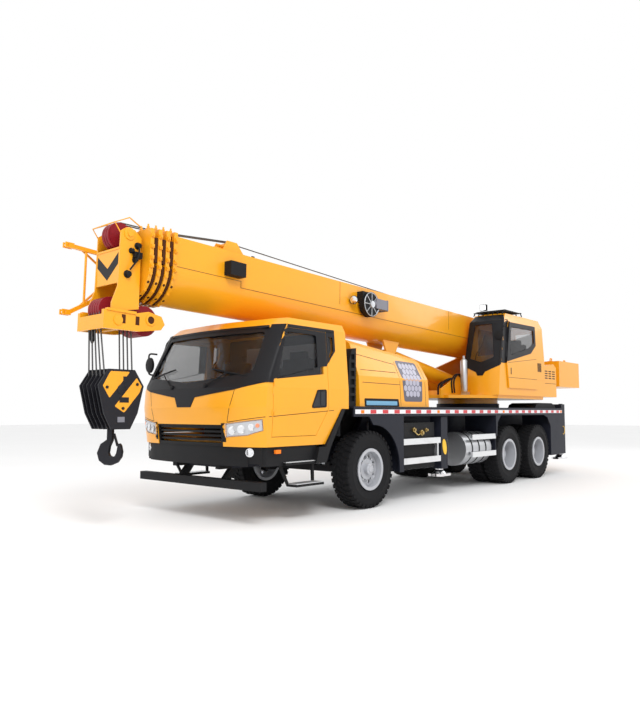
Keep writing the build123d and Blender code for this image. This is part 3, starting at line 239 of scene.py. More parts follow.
PAINTS = {
    "panel_black": gloss_paint("panel_gloss_black", (0.010, 0.010, 0.012), (0.007, 0.007, 0.009), 0.45,
                               0.0, 0.2),
    "lamp_chrome": metal("lamp_chrome", (0.86, 0.87, 0.89), 0.16),
    "band_white": gloss_paint("reflective_white", (0.78, 0.78, 0.8), (0.68, 0.68, 0.71), 0.4, 0.1),
    "band_red": gloss_paint("reflective_red", (0.62, 0.02, 0.03), (0.5, 0.015, 0.025), 0.35, 0.3),
    "patch_grey": gloss_paint("honeycomb_grey", (0.09, 0.085, 0.12), (0.07, 0.068, 0.1), 0.4, 0.2),
    "patch_white": gloss_paint("honeycomb_white", (0.42, 0.41, 0.5), (0.36, 0.35, 0.44), 0.35, 0.2),
    "strip_blue": gloss_paint("strip_blue", (0.15, 0.38, 0.58), (0.12, 0.33, 0.52), 0.35, 0.2),
    # painted shade: a darkened yellow for grooves and seams, where shade falls
    "groove": gloss_paint("groove_brown", (0.16, 0.075, 0.01), (0.11, 0.05, 0.01), 0.6, 0.0),
    "amber": grained("amber_lens", (0.75, 0.17, 0.01), 0.25, 120, 0.0002),
    "reflector": grained("yellow_reflector", (0.72, 0.42, 0.03), 0.3, 120, 0.0002),
    # painted shade: a dark brown that stands for shade in the gaps and hollows of the yellow boom
    "hollow": grained("hollow_brown", (0.05, 0.014, 0.004), 0.7),
    "brass": metal("valve_brass", (0.5, 0.36, 0.14), 0.4),
    "motor_grey": gloss_paint("motor_grey", (0.2, 0.2, 0.23), (0.16, 0.16, 0.19), 0.45, 0.0),
    "crane_yellow": gloss_paint("crane_yellow_enamel", (0.86, 0.37, 0.008), (0.80, 0.33, 0.006),
                                0.32, 0.3, 0.4),
    "chassis_dark": gloss_paint("chassis_blue_black", (0.009, 0.010, 0.017), (0.012, 0.014, 0.024), 0.5,
                                0.0, 0.25),
    "axle_dark": grained("axle_black", (0.012, 0.012, 0.014), 0.55, 300),
    "tyre_rubber": grained("tyre_rubber", (0.008, 0.008, 0.009), 0.8, 500),
    "rim_silver": gloss_paint("rim_silver_enamel", (0.44, 0.45, 0.48), (0.38, 0.39, 0.42), 0.35, 0.2),
    "guard_aluminium": metal("guard_aluminium", (0.8, 0.81, 0.82), 0.4, (1, 12, 12)),
    "tank_steel": metal("tank_steel", (0.55, 0.56, 0.58), 0.42),
    "tinted_glass": tinted_glass("tinted_glass", (0.012, 0.014, 0.018), 0.34),
    "lamp_clear": tinted_glass("lamp_clear", (0.8, 0.82, 0.85), 0.16),
    "interior_dark": grained("cab_lining", (0.03, 0.031, 0.035), 0.7),
    "trim_black": grained("trim_black", (0.007, 0.007, 0.008), 0.6),
    "engine_iron": grained("engine_black", (0.02, 0.02, 0.02), 0.6, 120),
    "winch_dark": gloss_paint("winch_grey", (0.05, 0.05, 0.052), (0.04, 0.04, 0.04), 0.45, 0.1),
    "rod_steel": metal("rod_chrome", (0.75, 0.75, 0.77), 0.14),
    "sheave_red": grained("sheave_crimson", (0.19, 0.008, 0.014), 0.42, 200),
    "hook_dark": gloss_paint("hook_charcoal", (0.014, 0.014, 0.018), (0.010, 0.010, 0.014), 0.5, 0.0,
                             0.25),
    "rope_steel": metal("rope_steel", (0.12, 0.12, 0.12), 0.5),
}


# --- forms ---------------------------------------------------------------------
def rounded(outline, radius, steps=4):
    """An outline with its corners turned into arcs."""
    points = []
    for k, corner in enumerate(outline):
        here = Vector(corner)
        back = Vector(outline[k - 1]) - here
        ahead = Vector(outline[(k + 1) % len(outline)]) - here
        turn = back.angle(ahead)
        if turn > radians(176):
            points.append(tuple(corner))
            continue
        reach = min(radius / tan(turn / 2), 0.45 * back.length, 0.45 * ahead.length)
        start, end = here + back.normalized() * reach, here + ahead.normalized() * reach
        shares = [step / steps for step in range(steps + 1)]
        points += [tuple(start * (1 - t) ** 2 + here * 2 * t * (1 - t) + end * t ** 2) for t in shares]
    return points


def band(points, width):
    """The outline of a strip of even width along a flat run of points."""
    left, right = [], []
    for k, point in enumerate(points):
        a = Vector(points[max(k - 1, 0)])
        b = Vector(points[min(k + 1, len(points) - 1)])
        along = (b - a).normalized()
        side = Vector((-along.y, along.x)) * width / 2
        left.append(tuple(Vector(point) + side))
        right.append(tuple(Vector(point) - side))
    return left + right[::-1]


def bent(points, radius, steps=5):
    """A run of points in space with its inner corners turned into arcs."""
    run = [Vector(points[0])]
    for a, here, b in zip(points, points[1:], points[2:]):
        here = Vector(here)
        back, ahead = Vector(a) - here, Vector(b) - here
        reach = min(radius, 0.48 * back.length, 0.48 * ahead.length)
        start, end = here + back.normalized() * reach, here + ahead.normalized() * reach
        for step in range(steps + 1):
            t = step / steps
            run.append(start * (1 - t) ** 2 + here * 2 * t * (1 - t) + end * t ** 2)
    return run + [Vector(points[-1])]


def arc(start, through, end, steps=8):
    """Points of the circle through three flat points."""
    a, b, c = (Vector(p) for p in (start, through, end))
    turn = 2 * (a.x * (b.y - c.y) + b.x * (c.y - a.y) + c.x * (a.y - b.y))
    sq = [p.length_squared for p in (a, b, c)]
    middle = Vector(((sq[0] * (b.y - c.y) + sq[1] * (c.y - a.y) + sq[2] * (a.y - b.y)) / turn,
                     (sq[0] * (c.x - b.x) + sq[1] * (a.x - c.x) + sq[2] * (b.x - a.x)) / turn))
    first, last = (atan2(p.y - middle.y, p.x - middle.x) for p in (a, c))
    sweep = (last - first + pi) % (2 * pi) - pi
    turns = [first + sweep * k / steps for k in range(steps + 1)]
    return [middle + (a - middle).length * Vector((cos(t), sin(t))) for t in turns]


def spread(run, count):
    """Points at even distances along a flat run of points."""
    lengths = [0.0]
    for p, q in zip(run, run[1:]):
        lengths.append(lengths[-1] + (q - p).length)
    spots = []
    for k in range(count + 1):
        want = lengths[-1] * k / count
        j = max(1, next((i for i, a in enumerate(lengths) if a >= want - 1e-9), len(run) - 1))
        part = (want - lengths[j - 1]) / max(lengths[j] - lengths[j - 1], 1e-9)
        spots.append(run[j - 1].lerp(run[j], part))
    return spots


def oblong(u0, u1, v0, v1):
    return [(u0, v0), (u1, v0), (u1, v1), (u0, v1)]


def even(half):
    """A whole outline from the half of it on one side of the middle line."""
    return half + [(-u, v) for u, v in half[::-1] if u]


def other_side(point):
    return (point[0], -point[1], point[2])


class Skin:
    """The outer faces of some CAD nodes, for panels, bands and seams to lie on."""

    # Where a view looks, and how a flat point (u, v) of it stands in space.
    VIEWS = {
        "left": (Vector((0, -1, 0)), lambda u, v: Vector((AXLE_X + u, 3, v))),
        "right": (Vector((0, 1, 0)), lambda u, v: Vector((AXLE_X + u, -3, v))),
        "front": (Vector((-1, 0, 0)), lambda u, v: Vector((AXLE_X + 6, u, v))),
        "rear": (Vector((1, 0, 0)), lambda u, v: Vector((AXLE_X - 12, u, v))),
        "top": (Vector((0, 0, -1)), lambda u, v: Vector((AXLE_X + u, v, 6))),
    }

    def __init__(self, *names, quads=()):
        verts, faces = [], []
        for name in names:
            mesh = frame["nodes"][name].data
            base = len(verts)
            verts += [v.co.copy() for v in mesh.vertices]
            faces += [[base + k for k in p.vertices] for p in mesh.polygons]
        for quad in quads:
            base = len(verts)
            verts += [Vector((AXLE_X + x, y, z)) for x, y, z in quad]
            faces.append([base + k for k in range(len(quad))])
        self.tree = BVHTree.FromPolygons(verts, faces)

    def drop(self, view, u, v):
        """The point of the skin that a view sees at (u, v), or the nearest one."""
        along, place = self.VIEWS[view]
        start = place(u, v)
        hit = self.tree.ray_cast(start, along)[0]
        if hit is None:
            near = self.tree.find_nearest(start + along * 1.8)[0]
            hit = start + along * (near - start).dot(along)
        return hit


class Form:
    """Gathers the faces of one piece, in metres, with x counted from the front axle.

    Where a method takes both, it makes the same solid on the machine's other side too.
    """

    def __init__(self, place=None):
        self.bm = bmesh.new()
        self.place = Matrix.Translation((AXLE_X, 0, 0)) @ (place or Matrix.Identity(4))

    def verts(self, points):
        return [self.bm.verts.new(self.place @ Vector(p)) for p in points]

    def box(self, x0, x1, y0, y1, z0, z1, ease=0.0, both=False):
        verts = self.verts([(x, y, z) for x in (x0, x1) for y in (y0, y1) for z in (z0, z1)])
        loops = ((0, 1, 3, 2), (4, 6, 7, 5), (0, 4, 5, 1), (2, 3, 7, 6), (0, 2, 6, 4), (1, 5, 7, 3))
        self.eased([self.bm.faces.new([verts[k] for k in loop]) for loop in loops], ease)
        if both:
            self.box(x0, x1, -y0, -y1, z0, z1, ease)

    def eased(self, faces, ease):
        """Rounds the edges of new faces."""
        if ease:
            edges = {e for f in faces for e in f.edges if len(e.link_faces) == 2}
            edges = [e for e in edges if e.calc_face_angle(0) > radians(25)]
            bmesh.ops.bevel(self.bm, geom=edges, offset=ease, segments=2, affect="EDGES",
                            profile=0.5, clamp_overlap=True)

    def prism(self, outline, axis, low, high, ease=0.0, both=False):
        """A flat outline across an axis, run from low to high along it; both is for Y."""
        slot = "XYZ".index(axis)
        near = self.verts([(*spot[:slot], low, *spot[slot:]) for spot in outline])
        far = self.verts([(*spot[:slot], high, *spot[slot:]) for spot in outline])
        count = len(outline)
        faces = [self.bm.faces.new(near), self.bm.faces.new(far[::-1])]
        for k in range(count):
            j = (k + 1) % count
            faces.append(self.bm.faces.new((near[k], far[k], far[j], near[j])))
        self.eased(faces, ease)
        if both:
            self.prism(outline, axis, -low, -high, ease)

    def rings(self, rings, closed=False):
        """Skins a run of rings of equal count; a ring of one point is a pole."""
        made = [self.verts(ring) for ring in rings]
        pairs = list(zip(made, made[1:])) + ([(made[-1], made[0])] if closed else [])
        for a, b in pairs:
            count = max(len(a), len(b))
            for k in range(count):
                j = (k + 1) % count
                corners = [a[k % len(a)], a[j % len(a)], b[j % len(b)], b[k % len(b)]]
                self.bm.faces.new(list(dict.fromkeys(corners)))
        if not closed:
            for ring in (made[0], made[-1]):
                if len(ring) > 2:
                    self.bm.faces.new(ring)

    def tube(self, points, radius, sides, both=False):
        """A round bar along a run of points, capped."""
        points = [Vector(p) for p in points]
        side = (points[1] - points[0]).orthogonal()
        rings = []
        for k, point in enumerate(points):
            along = (points[min(k + 1, len(points) - 1)] - points[max(k - 1, 0)]).normalized()
            side = (side - along * side.dot(along)).normalized()
            up = along.cross(side)
            turns = [2 * pi * n / sides for n in range(sides)]
            rings.append([point + (side * cos(t) + up * sin(t)) * radius for t in turns])
        self.rings(rings)
        if both:
            self.tube([other_side(p) for p in points], radius, sides)

    def lathe(self, profile, centre, axis, steps, closed=False, both=False):
        """A profile of (distance along the axis, radius) turned about it."""
        along = Vector(axis).normalized()
        side = along.orthogonal().normalized()
        up = along.cross(side)
        rings = []
        for far, radius in profile:
            middle = Vector(centre) + along * far
            turns = [2 * pi * n / steps for n in range(steps if radius > 0 else 1)]
            rings.append([middle + (side * cos(t) + up * sin(t)) * radius for t in turns])
        self.rings(rings, closed)
        if both:
            self.lathe(profile, other_side(centre), other_side(axis), steps, closed)

    def drum(self, centre, axis, radius, low, high, steps, both=False):
        """A plain round solid from low to high along an axis."""
        self.lathe([(low, radius), (high, radius), (high, 0)], centre, axis, steps, both=both)

    def lay(self, skin, view, outline, holes, proud, sunk, step=0.06):
        """A panel with a flat outline, cut at each step and pressed onto a skin as a view sees it."""
        flat = bmesh.new()
        for loop in (outline, *holes):
            verts = [flat.verts.new((u, v, 0)) for u, v in loop]
            for a, b in zip(verts, verts[1:] + verts[:1]):
                flat.edges.new((a, b))
        bmesh.ops.triangle_fill(flat, use_beauty=True, edges=flat.edges[:])
        for axis in (0, 1):
            low = min(v.co[axis] for v in flat.verts)
            high = max(v.co[axis] for v in flat.verts)
            for k in range(int(low / step) - 1, int(high / step) + 2):
                if low < k * step < high:
                    spot, normal = [0, 0, 0], [0, 0, 0]
                    spot[axis], normal[axis] = k * step, 1
                    bmesh.ops.bisect_plane(flat, geom=flat.verts[:] + flat.edges[:] + flat.faces[:],
                                           plane_co=spot, plane_no=normal, dist=1e-5)
        along = skin.VIEWS[view][0]
        spots = [skin.drop(view, v.co.x, v.co.y) for v in flat.verts]
        outer = [self.bm.verts.new(p - along * proud) for p in spots]
        inner = [self.bm.verts.new(p + along * sunk) for p in spots]
        flat.verts.index_update()
        for face in flat.faces:
            loop = [v.index for v in face.verts]
            self.bm.faces.new([outer[k] for k in loop])
            self.bm.faces.new([inner[k] for k in loop[::-1]])
        for edge in flat.edges:
            if len(edge.link_faces) == 1:
                a, b = (v.index for v in edge.verts)
                self.bm.faces.new((outer[a], outer[b], inner[b], inner[a]))
        flat.free()

    def seam(self, skin, view, start, end, width=0.008):
        """A fine raised line on a skin between two flat points."""
        self.lay(skin, view, band([start, end], width), (), 0.0012, 0.002)

    def mesh(self, crease=35):
        bmesh.ops.recalc_face_normals(self.bm, faces=self.bm.faces)
        mesh = bpy.data.meshes.new("mesh")
        self.bm.to_mesh(mesh)
        self.bm.free()
        for face in mesh.polygons:
            face.use_smooth = True
        mesh.set_sharp_from_angle(angle=radians(crease))
        return mesh

    def loose(self, name, material):
        return shown(name, self.mesh(), material)

    def piece(self, name, body, slot, paint=None, stands_for=(), crease=35):
        """Ends the form as one piece that rides on a body."""
        return piece(name, self.mesh(crease), body, slot, paint, stands_for)


def shown(name, mesh, material):
    if material:
        mesh.materials.clear()
        mesh.materials.append(material)
    thing = bpy.data.objects.new(name, mesh)
    bpy.context.scene.collection.objects.link(thing)
    return thing


def piece(name, mesh, body, slot, paint=None, stands_for=()):
    """A piece that rides on a body, in its slot's paint unless another is named."""
    thing = shown(name, mesh, PAINTS[paint or slot])
    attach(thing, body)
    if stands_for:
        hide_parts(*stands_for)
    return thing


# --- what repeats: Geometry Nodes ------------------------------------------------
class Grower(Nodes):
    """A Geometry Nodes tree with named inputs, run once on a mesh."""

    SOCKETS = {float: "NodeSocketFloat", int: "NodeSocketInt", tuple: "NodeSocketVector"}

    def __init__(self, name, **inputs):
        self.tree = bpy.data.node_groups.new(name, "GeometryNodeTree")
        for flow in ("INPUT", "OUTPUT"):
            self.tree.interface.new_socket("Geometry", in_out=flow, socket_type="NodeSocketGeometry")
        for key, value in inputs.items():
            kind = self.SOCKETS[type(value)]
            socket = self.tree.interface.new_socket(key, in_out="INPUT", socket_type=kind)
            socket.default_value = value
        outputs = self.tree.nodes.new("NodeGroupInput").outputs
        self.given = {key: Wire(self, outputs[key]) for key in ("Geometry", *inputs)}
        self.result = self.tree.nodes.new("NodeGroupOutput").inputs[0]

    def run(self, geometry, mesh, material, **values):
        """Realizes the geometry on a mesh and returns it as a plain mesh."""
        real = self.node("GeometryNodeRealizeInstances", (), {0: geometry})
        self.feed(self.result, self.node("GeometryNodeSetMaterial", (), {0: real, 2: material}))
        thing = shown("seed", mesh, None)
        grower = thing.modifiers.new("grow", "NODES")
        grower.node_group = self.tree
        for item in self.tree.interface.items_tree:
            if item.name in values:
                grower[item.identifier] = values[item.name]
        bpy.context.view_layer.update()
        seen = thing.evaluated_get(bpy.context.evaluated_depsgraph_get())
        plain = bpy.data.meshes.new_from_object(seen)
        thing.modifiers.remove(grower)
        bpy.data.objects.remove(thing)
        return plain


def studs(points, outward, radius, height):
    """Bolt heads on washers at points, all standing along one outward direction."""
    mesh = bpy.data.meshes.new("spots")
    mesh.from_pydata([Vector(p) + Vector((AXLE_X, 0, 0)) for p in points], [], [])
    facing = mesh.attributes.new("facing", "FLOAT_VECTOR", "POINT")
    for row in facing.data:
        row.vector = Vector(outward)
    grower = Grower("studs", Radius=0.01, Height=0.01)
    wide, tall = grower.given["Radius"], grower.given["Height"]
    join = grower.tree.nodes.new("GeometryNodeJoinGeometry")
    for sides, widen, reach in ((6, 1.0, 1.0), (12, 1.5, 0.3)):
        solid = grower.node("GeometryNodeMeshCylinder", (),
                            {"Vertices": sides, "Radius": wide * widen, "Depth": tall * reach})
        up = grower.node("ShaderNodeCombineXYZ", (), {2: tall * (reach / 2)})
        grower.feed(join.inputs[0], grower.node("GeometryNodeTransform", (), {0: solid, "Translation": up}))
    named = grower.node("GeometryNodeInputNamedAttribute", {"data_type": "FLOAT_VECTOR"},
                        {"Name": "facing"})
    turn = grower.node("FunctionNodeAlignRotationToVector", {"axis": "Z"}, {"Vector": named})
    dots = grower.node("GeometryNodeMeshToPoints", (), {0: grower.given["Geometry"]})
    head = Wire(grower, join.outputs[0])
    placed = grower.node("GeometryNodeInstanceOnPoints", (),
                         {"Points": dots, "Instance": head, "Rotation": turn})
    return grower.run(placed, mesh, PAINTS["tank_steel"], Radius=radius, Height=height)


def round_copies(mesh, count, centre, material):
    """Turns copies of a mesh about the Y axis through a centre."""
    grower = Grower("round_copies", Count=12, Centre=(0.0, 0.0, 0.0))
    copies = grower.given["Count"]
    spots = grower.node("GeometryNodePoints", (), {"Count": copies, "Position": grower.given["Centre"]})
    angle = grower.node("GeometryNodeInputIndex") * (2 * pi / copies)
    vector = grower.node("ShaderNodeCombineXYZ", (), {1: angle})
    turn = grower.node("FunctionNodeEulerToRotation", (), {0: vector})
    placed = grower.node("GeometryNodeInstanceOnPoints", (),
                         {"Points": spots, "Instance": grower.given["Geometry"], "Rotation": turn})
    return grower.run(placed, mesh, material, Count=count, Centre=centre)


# --- driver's cab ----------------------------------------------------------------
# Rows of the cab's shape: a height, the front, the side wall's front end and the half width there.
CAB_ROWS = ((1.4, 2.35, 2.095, 1.225), (1.64, 2.33, 2.08, 1.225), (2.42, 1.905, 1.71, 1.165))


def corner_arc(front, corner, half):
    """A cab corner in plan, from its side wall to its bowed front, left side."""
    mid_x, mid_y = front - 0.07, 0.8 * half / 1.225
    turn = ((corner + mid_x) / 2 + 0.022, (half + mid_y) / 2 + 0.022)
    return arc((corner, half), turn, (mid_x, mid_y))


def cab_row(z):
    """The share of the window rows below z, and the front, corner and half width at z."""
    low, high = CAB_ROWS[1:]
    share = (z - low[0]) / (high[0] - low[0])
    return [share] + [a + (b - a) * share for a, b in zip(low[1:], high[1:])]


def cab_walls():
    """Closes the cab's windows with its walls' own surface, a little inside the skin."""
    plans = []
    for z, front, corner, half in CAB_ROWS:
        side = [Vector((0.5, half - 0.001)), *corner_arc(front - 0.002, corner, half - 0.001)]
        joint = side[-1]
        plan = side + arc(joint, (front - 0.002, 0), (joint.x, -joint.y))
        plan += [Vector((p.x, -p.y)) for p in side[-2::-1]]
        plans.append([(p.x, p.y, z) for p in plan])
    return [[low[k], low[k + 1], high[k + 1], high[k]]
            for low, high in zip(plans, plans[1:]) for k in range(len(low) - 1)]


def corner_posts(form):
    """A black cover round each front corner of the cab, from the door to the windscreen."""
    rows, parts, outside, inside = 8, 12, 0.009, 0.006
    foot, tall = 1.695, 0.7325
    rings = []
    for n in range(rows + 1):
        z = foot + tall * n / rows
        share, front, corner, half = cab_row(z)
        run = [Vector((1.983 - 0.327 * (z - 1.70), half))] + corner_arc(front, corner, half)
        if n == rows:
            run[0].x = min(run[0].x, run[1].x - 0.01)
        run.insert(1, run[0].lerp(run[1], 0.5))
        edge = 1.062 - 0.062 * share
        cut = next(k for k, p in enumerate(run) if p.y < edge)
        past = (run[cut - 1].y - edge) / (run[cut - 1].y - run[cut].y)
        spots = spread(run[:cut] + [run[cut - 1].lerp(run[cut], past)], parts)
        outer, inner = [], []
        for k, spot in enumerate(spots):
            along = spots[min(k + 1, parts)] - spots[max(k - 1, 0)]
            out = Vector((-along.y, along.x)).normalized()
            out = out if out.x + out.y > 0 else -out
            outer.append(spot + out * outside)
            inner.append(spot - out * inside)
        rings.append([(p.x, p.y, z) for p in outer + inner[::-1]])
    form.rings(rings)
    form.rings([[other_side(p) for p in ring] for ring in rings])


def brow_band(form):
    """A black band over the windscreen, following the bowed front."""
    rings = []
    for z in (2.386, 2.4195):
        front, corner, half = cab_row(z)[1:]
        side = [p for p in corner_arc(front, corner, half) if p.y < 1.01]
        middle = arc(side[-1], (front, 0), (side[-1].x, -side[-1].y))[1:-1]
        run = side + middle + [Vector((p.x, -p.y)) for p in side[::-1]]
        rings.append([(p.x + 0.007, p.y, z) for p in run] + [(p.x - 0.006, p.y, z) for p in run[::-1]])
    form.rings(rings)


def cab_doors(skin):
    """Black window frames, handles, a crease and hinge stops on each door."""
    window = rounded([(1.893, 1.765), (1.717, 2.33), (1.16, 2.33), (1.16, 1.905)], 0.04)
    pane = rounded([(1.982, 1.735), (1.786, 2.384), (0.968, 2.384), (0.968, 1.94), (1.17, 1.915)], 0.02)
    pull = rounded([(1.19, 1.625), (1.01, 1.635), (1.01, 1.405), (1.31, 1.39)], 0.03)
    well = rounded([(1.17, 1.607), (1.026, 1.615), (1.026, 1.42), (1.28, 1.408)], 0.02)
    for word, s in SIDES:
        door = f"cab_door_{word}_body"
        form = Form()
        form.lay(skin, word, pane, [window], 0.004, 0.006)
        form.lay(skin, word, pull, [well], 0.006, 0.004)
        form.piece(f"cab_door_frame_{word}", door, "trim_black", "panel_black")
        form = Form()
        form.lay(skin, word, well, (), 0.0005, 0.004)
        form.box(1.075, 1.13, s * 1.224, s * 1.236, 1.43, 1.6, 0.005)
        form.piece(f"cab_door_pull_{word}", door, "interior_dark")
        form = Form()
        form.seam(skin, word, (1.972, 1.293), (0.975, 1.357), 0.007)
        form.piece(f"cab_door_crease_{word}", door, "trim_black")
        form = Form()
        for z in (1.30, 1.66):
            form.box(1.948, 1.972, s * 1.224, s * 1.232, z, z + 0.05, 0.003)
        form.piece(f"cab_door_stops_{word}", door, "crane_yellow")


def cab_trim():
    """The doors' trim, black panels, lining, grille ends, seams and the windscreen's border."""
    skin = Skin("driver_cab", "cab_door_left", "cab_door_right", quads=cab_walls())
    cab_doors(skin)
    quarter = rounded([(0.927, 2.02), (0.927, 2.33), (0.83, 2.33), (0.83, 2.14)], 0.02)
    rim = [(0.963, 2.42), (0.963, 1.965), (0.79, 2.15), (0.79, 2.42)]
    top = [(1.735, 2.387), (1.715, 2.43), (0.79, 2.43), (0.79, 2.387)]
    form = Form()
    for word in ("left", "right"):
        form.lay(skin, word, rim, [quarter], 0.004, 0.006)
        form.lay(skin, word, top, (), 0.004, 0.006)
    corner_posts(form)
    upper = [(1.215, 1.70), (0.968, 1.64), (-0.968, 1.64), (-1.215, 1.70), (-1.215, 1.755), (-1.05, 1.79),
             (-0.9, 1.785), (0, 1.692), (0.9, 1.785), (1.05, 1.79), (1.215, 1.755)]
    lower = even([(0.968, 1.641), (0.85, 1.612), (0.2, 1.525), (0.135, 1.403)])
    form.lay(skin, "front", upper, (), 0.006, 0.006)
    form.lay(skin, "front", lower, (), 0.006, 0.006)
    brow_band(form)
    form.piece("cab_black_panels", "chassis", "trim_black", "panel_black")
    lining = Form()
    lining.box(0.66, 1.6, -1.05, 1.05, 2.470, 2.476)
    lining.box(0.607, 0.611, -1.12, 1.12, 1.02, 2.44)
    lining.prism([(1.60, 2.462), (1.60, 2.468), (1.85, 2.394), (1.85, 2.388)], "Y", -0.985, 0.985)
    reveal = even([(0, 1.653), (1.057, 1.758), (1.013, 2.393)])
    reveal_hole = even([(0, 1.658), (1.052, 1.763), (1.008, 2.388)])
    lining.lay(skin, "front", reveal, [reveal_hole], -0.004, 0.075)
    lining.piece("cab_lining", "chassis", "interior_dark")
    pane = Form()
    pane.box(0.612, 0.616, -0.72, 0.72, 1.98, 2.30, 0.001)
    pane.piece("cab_back_pane", "chassis", "rim_silver", "band_white")
    grid = Form()
    for s in (1, -1):
        low, high = sorted((s * 0.652, s * 0.702))
        for k in range(4):
            z = 1.005 + 0.058 * k
            grid.lay(skin, "front", oblong(low, high, z, z + 0.03), (), 0.012, 0.012)
        grid.lay(skin, "front", oblong(low, high, 0.985, 1.205), (), 0.002, 0.004)
        grid.prism([(2.150, s * 0.90), (2.165, s * 0.915), (2.07, s * 1.14), (2.045, s * 1.14)], "Z",
                   0.73, 0.945)
    grid.piece("grille_ends", "chassis", "trim_black")
    seams = Form()
    for view, s in SIDES:
        seams.seam(skin, "front", (s * 0.845, 1.608), (s * 0.735, 1.222), 0.007)
        seams.seam(skin, "front", (s * 0.735, 1.222), (s * 1.21, 1.288), 0.007)
        seams.seam(skin, view, (2.11, 1.284), (1.998, 1.291), 0.007)
        seams.seam(skin, view, (0.958, 1.358), (0.86, 1.365), 0.007)
    seams.piece("cab_seams", "chassis", "trim_black")
    screen = even([(0, 1.66), (1.052, 1.765), (1.008, 2.388)])
    clear = rounded(even([(0, 1.71), (1.0, 1.81), (0.965, 2.33)]), 0.07)
    form = Form()
    form.lay(skin, "front", screen, [clear], 0.003, 0.004)
    form.piece("windscreen_border", "chassis", "trim_black", "panel_black")


def cab_wipers():
    """Two wipers lying on the windscreen: a boss, an arm and a blade each."""
    skin = Skin("driver_cab", "driver_cab_glass", "front_bumper", "headlamps")
    form = Form()

    def seat(y, z, out):
        return skin.drop("front", y, z) - Vector((AXLE_X, 0, 0)) + Vector((out, 0, 0))

    for pivot, tip, low, high in (((-0.28, 1.655), (-0.66, 1.85), (-1.0, 1.79), (-0.42, 1.90)),
                                  ((0.37, 1.665), (0.67, 1.83), (0.36, 1.88), (0.95, 1.775))):
        elbow = ((pivot[0] + tip[0]) / 2, (pivot[1] + tip[1]) / 2)
        form.lathe([(0, 0.03), (0.035, 0.028), (0.045, 0)], seat(*pivot, -0.006), (1, 0, 0.1), 16)
        form.tube([seat(*pivot, 0.03), seat(*elbow, 0.045), seat(*tip, 0.04)], 0.009, 8)
        blade = [Vector(low).lerp(Vector(high), t / 8) for t in range(9)]
        form.tube([seat(*spot, 0.022) for spot in blade], 0.011, 8)
        form.tube([seat(*spot, 0.01) for spot in blade], 0.006, 6)
    form.piece("cab_wipers", "chassis", "trim_black")


def cab_lamps():
    """Headlamp backs and bowls, fog lamps, amber lamps and side markers."""
    lamp = Skin("headlamps")
    back, bowls, amber, lens = Form(), Form(), Form(), Form()
    edge = [(0.713, 1.052), (0.713, 1.193), (1.165, 1.247), (1.165, 1.132), (1.0, 1.078)]
    for s in (1, -1):
        back.lay(lamp, "front", [(s * u, v) for u, v in edge], (), -0.016, 0.022)
        for y, z, r in ((0.80, 1.125, 0.052), (0.925, 1.14, 0.05), (1.05, 1.165, 0.04)):
            spot = lamp.drop("front", s * y, z) - Vector((AXLE_X + 0.013, 0, 0))
            bowls.lathe([(0, r), (0.006, r), (0.005, r - 0.007), (-0.002, 0.022), (0.003, 0)], spot,
                        (1, s * 0.35, 0.02), 24)
        spot = lamp.drop("front", s * 1.12, 1.185) - Vector((AXLE_X + 0.012, 0, 0))
        amber.lathe([(0, 0.026), (0.008, 0.02), (0.01, 0)], spot, (1, s * 0.5, 0), 20)
        fog = Vector((2.135, s * 0.995, 0.865))
        bowls.lathe([(-0.02, 0.052), (0.012, 0.052), (0.014, 0.044), (0.004, 0.04), (-0.002, 0)], fog,
                    (1, s * 0.5, 0), 28)
        lens.lathe([(0.004, 0.043), (0.010, 0.036), (0.014, 0)], fog, (1, s * 0.5, 0), 28)
    amber.box(1.84, 1.93, 1.19, 1.218, 0.85, 0.895, 0.004, both=True)
    back.piece("headlamp_backs", "chassis", "tank_steel")
    bowls.piece("lamp_bowls", "chassis", "rod_steel", "lamp_chrome")
    amber.piece("amber_lamps", "chassis", "lamp_clear", "amber")
    lens.piece("fog_lenses", "chassis", "lamp_clear")


def cab_fittings():
    """Step treads, the front mirror and the steering wheel."""
    tread, bars = Form(), 12
    for x0, x1, y, low, high in ((1.045, 1.745, 1.02, 0.7295, 0.738), (1.055, 1.555, 1.04, 0.4545, 0.462)):
        tread.box(x0, x1, y, 1.21, low, high, 0.002, both=True)
        for n in range(bars):
            x = x0 + 0.015 + (x1 - x0 - 0.03) * (n + 0.5) / bars
            tread.box(x - 0.008, x + 0.008, 1.05, 1.2, high - 0.001, high + 0.004, both=True)
    tread.piece("cab_step_treads", "chassis", "guard_aluminium")
    form, aim = Form(), (-1, 0.15, 0)
    for z in (2.16, 1.86):
        form.tube(bent([(1.96, -1.13, z), (2.05, -1.2, z + 0.01), (2.06, -1.2, 2.0)], 0.04), 0.012, 8)
    form.lathe([(-0.03, 0), (-0.028, 0.07), (-0.01, 0.105), (0.016, 0.11), (0.02, 0.1)],
               (2.07, -1.155, 2.0), aim, 28)
    form.piece("front_mirror", "chassis", "trim_black")
    form = Form()
    form.lathe([(0.0, 0.098), (0.004, 0.096), (0.005, 0)], (2.049, -1.152, 2.0), aim, 28)
    form.piece("front_mirror_glass", "chassis", "rod_steel", "lamp_chrome")
    form = Form()
    wheel = Matrix.Translation((1.66, 0.62, 1.72)) @ Matrix.Rotation(radians(-28), 4, "Y")
    ring = [wheel @ Vector((0.225 * cos(pi * n / 16), 0.225 * sin(pi * n / 16), 0)) for n in range(33)]
    form.tube(ring, 0.014, 8)
    for n in (4, 12, 24):
        form.tube([wheel.to_translation(), ring[n]], 0.013, 6)
    form.tube([wheel @ Vector((0, 0, 0.01)), (1.80, 0.62, 1.45)], 0.03, 10)
    form.piece("driver_steering_wheel", "chassis", "interior_dark")


# --- wheels ------------------------------------------------------------------------
TYRE_R = 0.542
FRONT_Y, TWIN_YS, TWIN_WEB_Y = 1.037, (0.747, 1.087), 0.977
AXLES_X = {"2": -4.325, "3": -5.675}


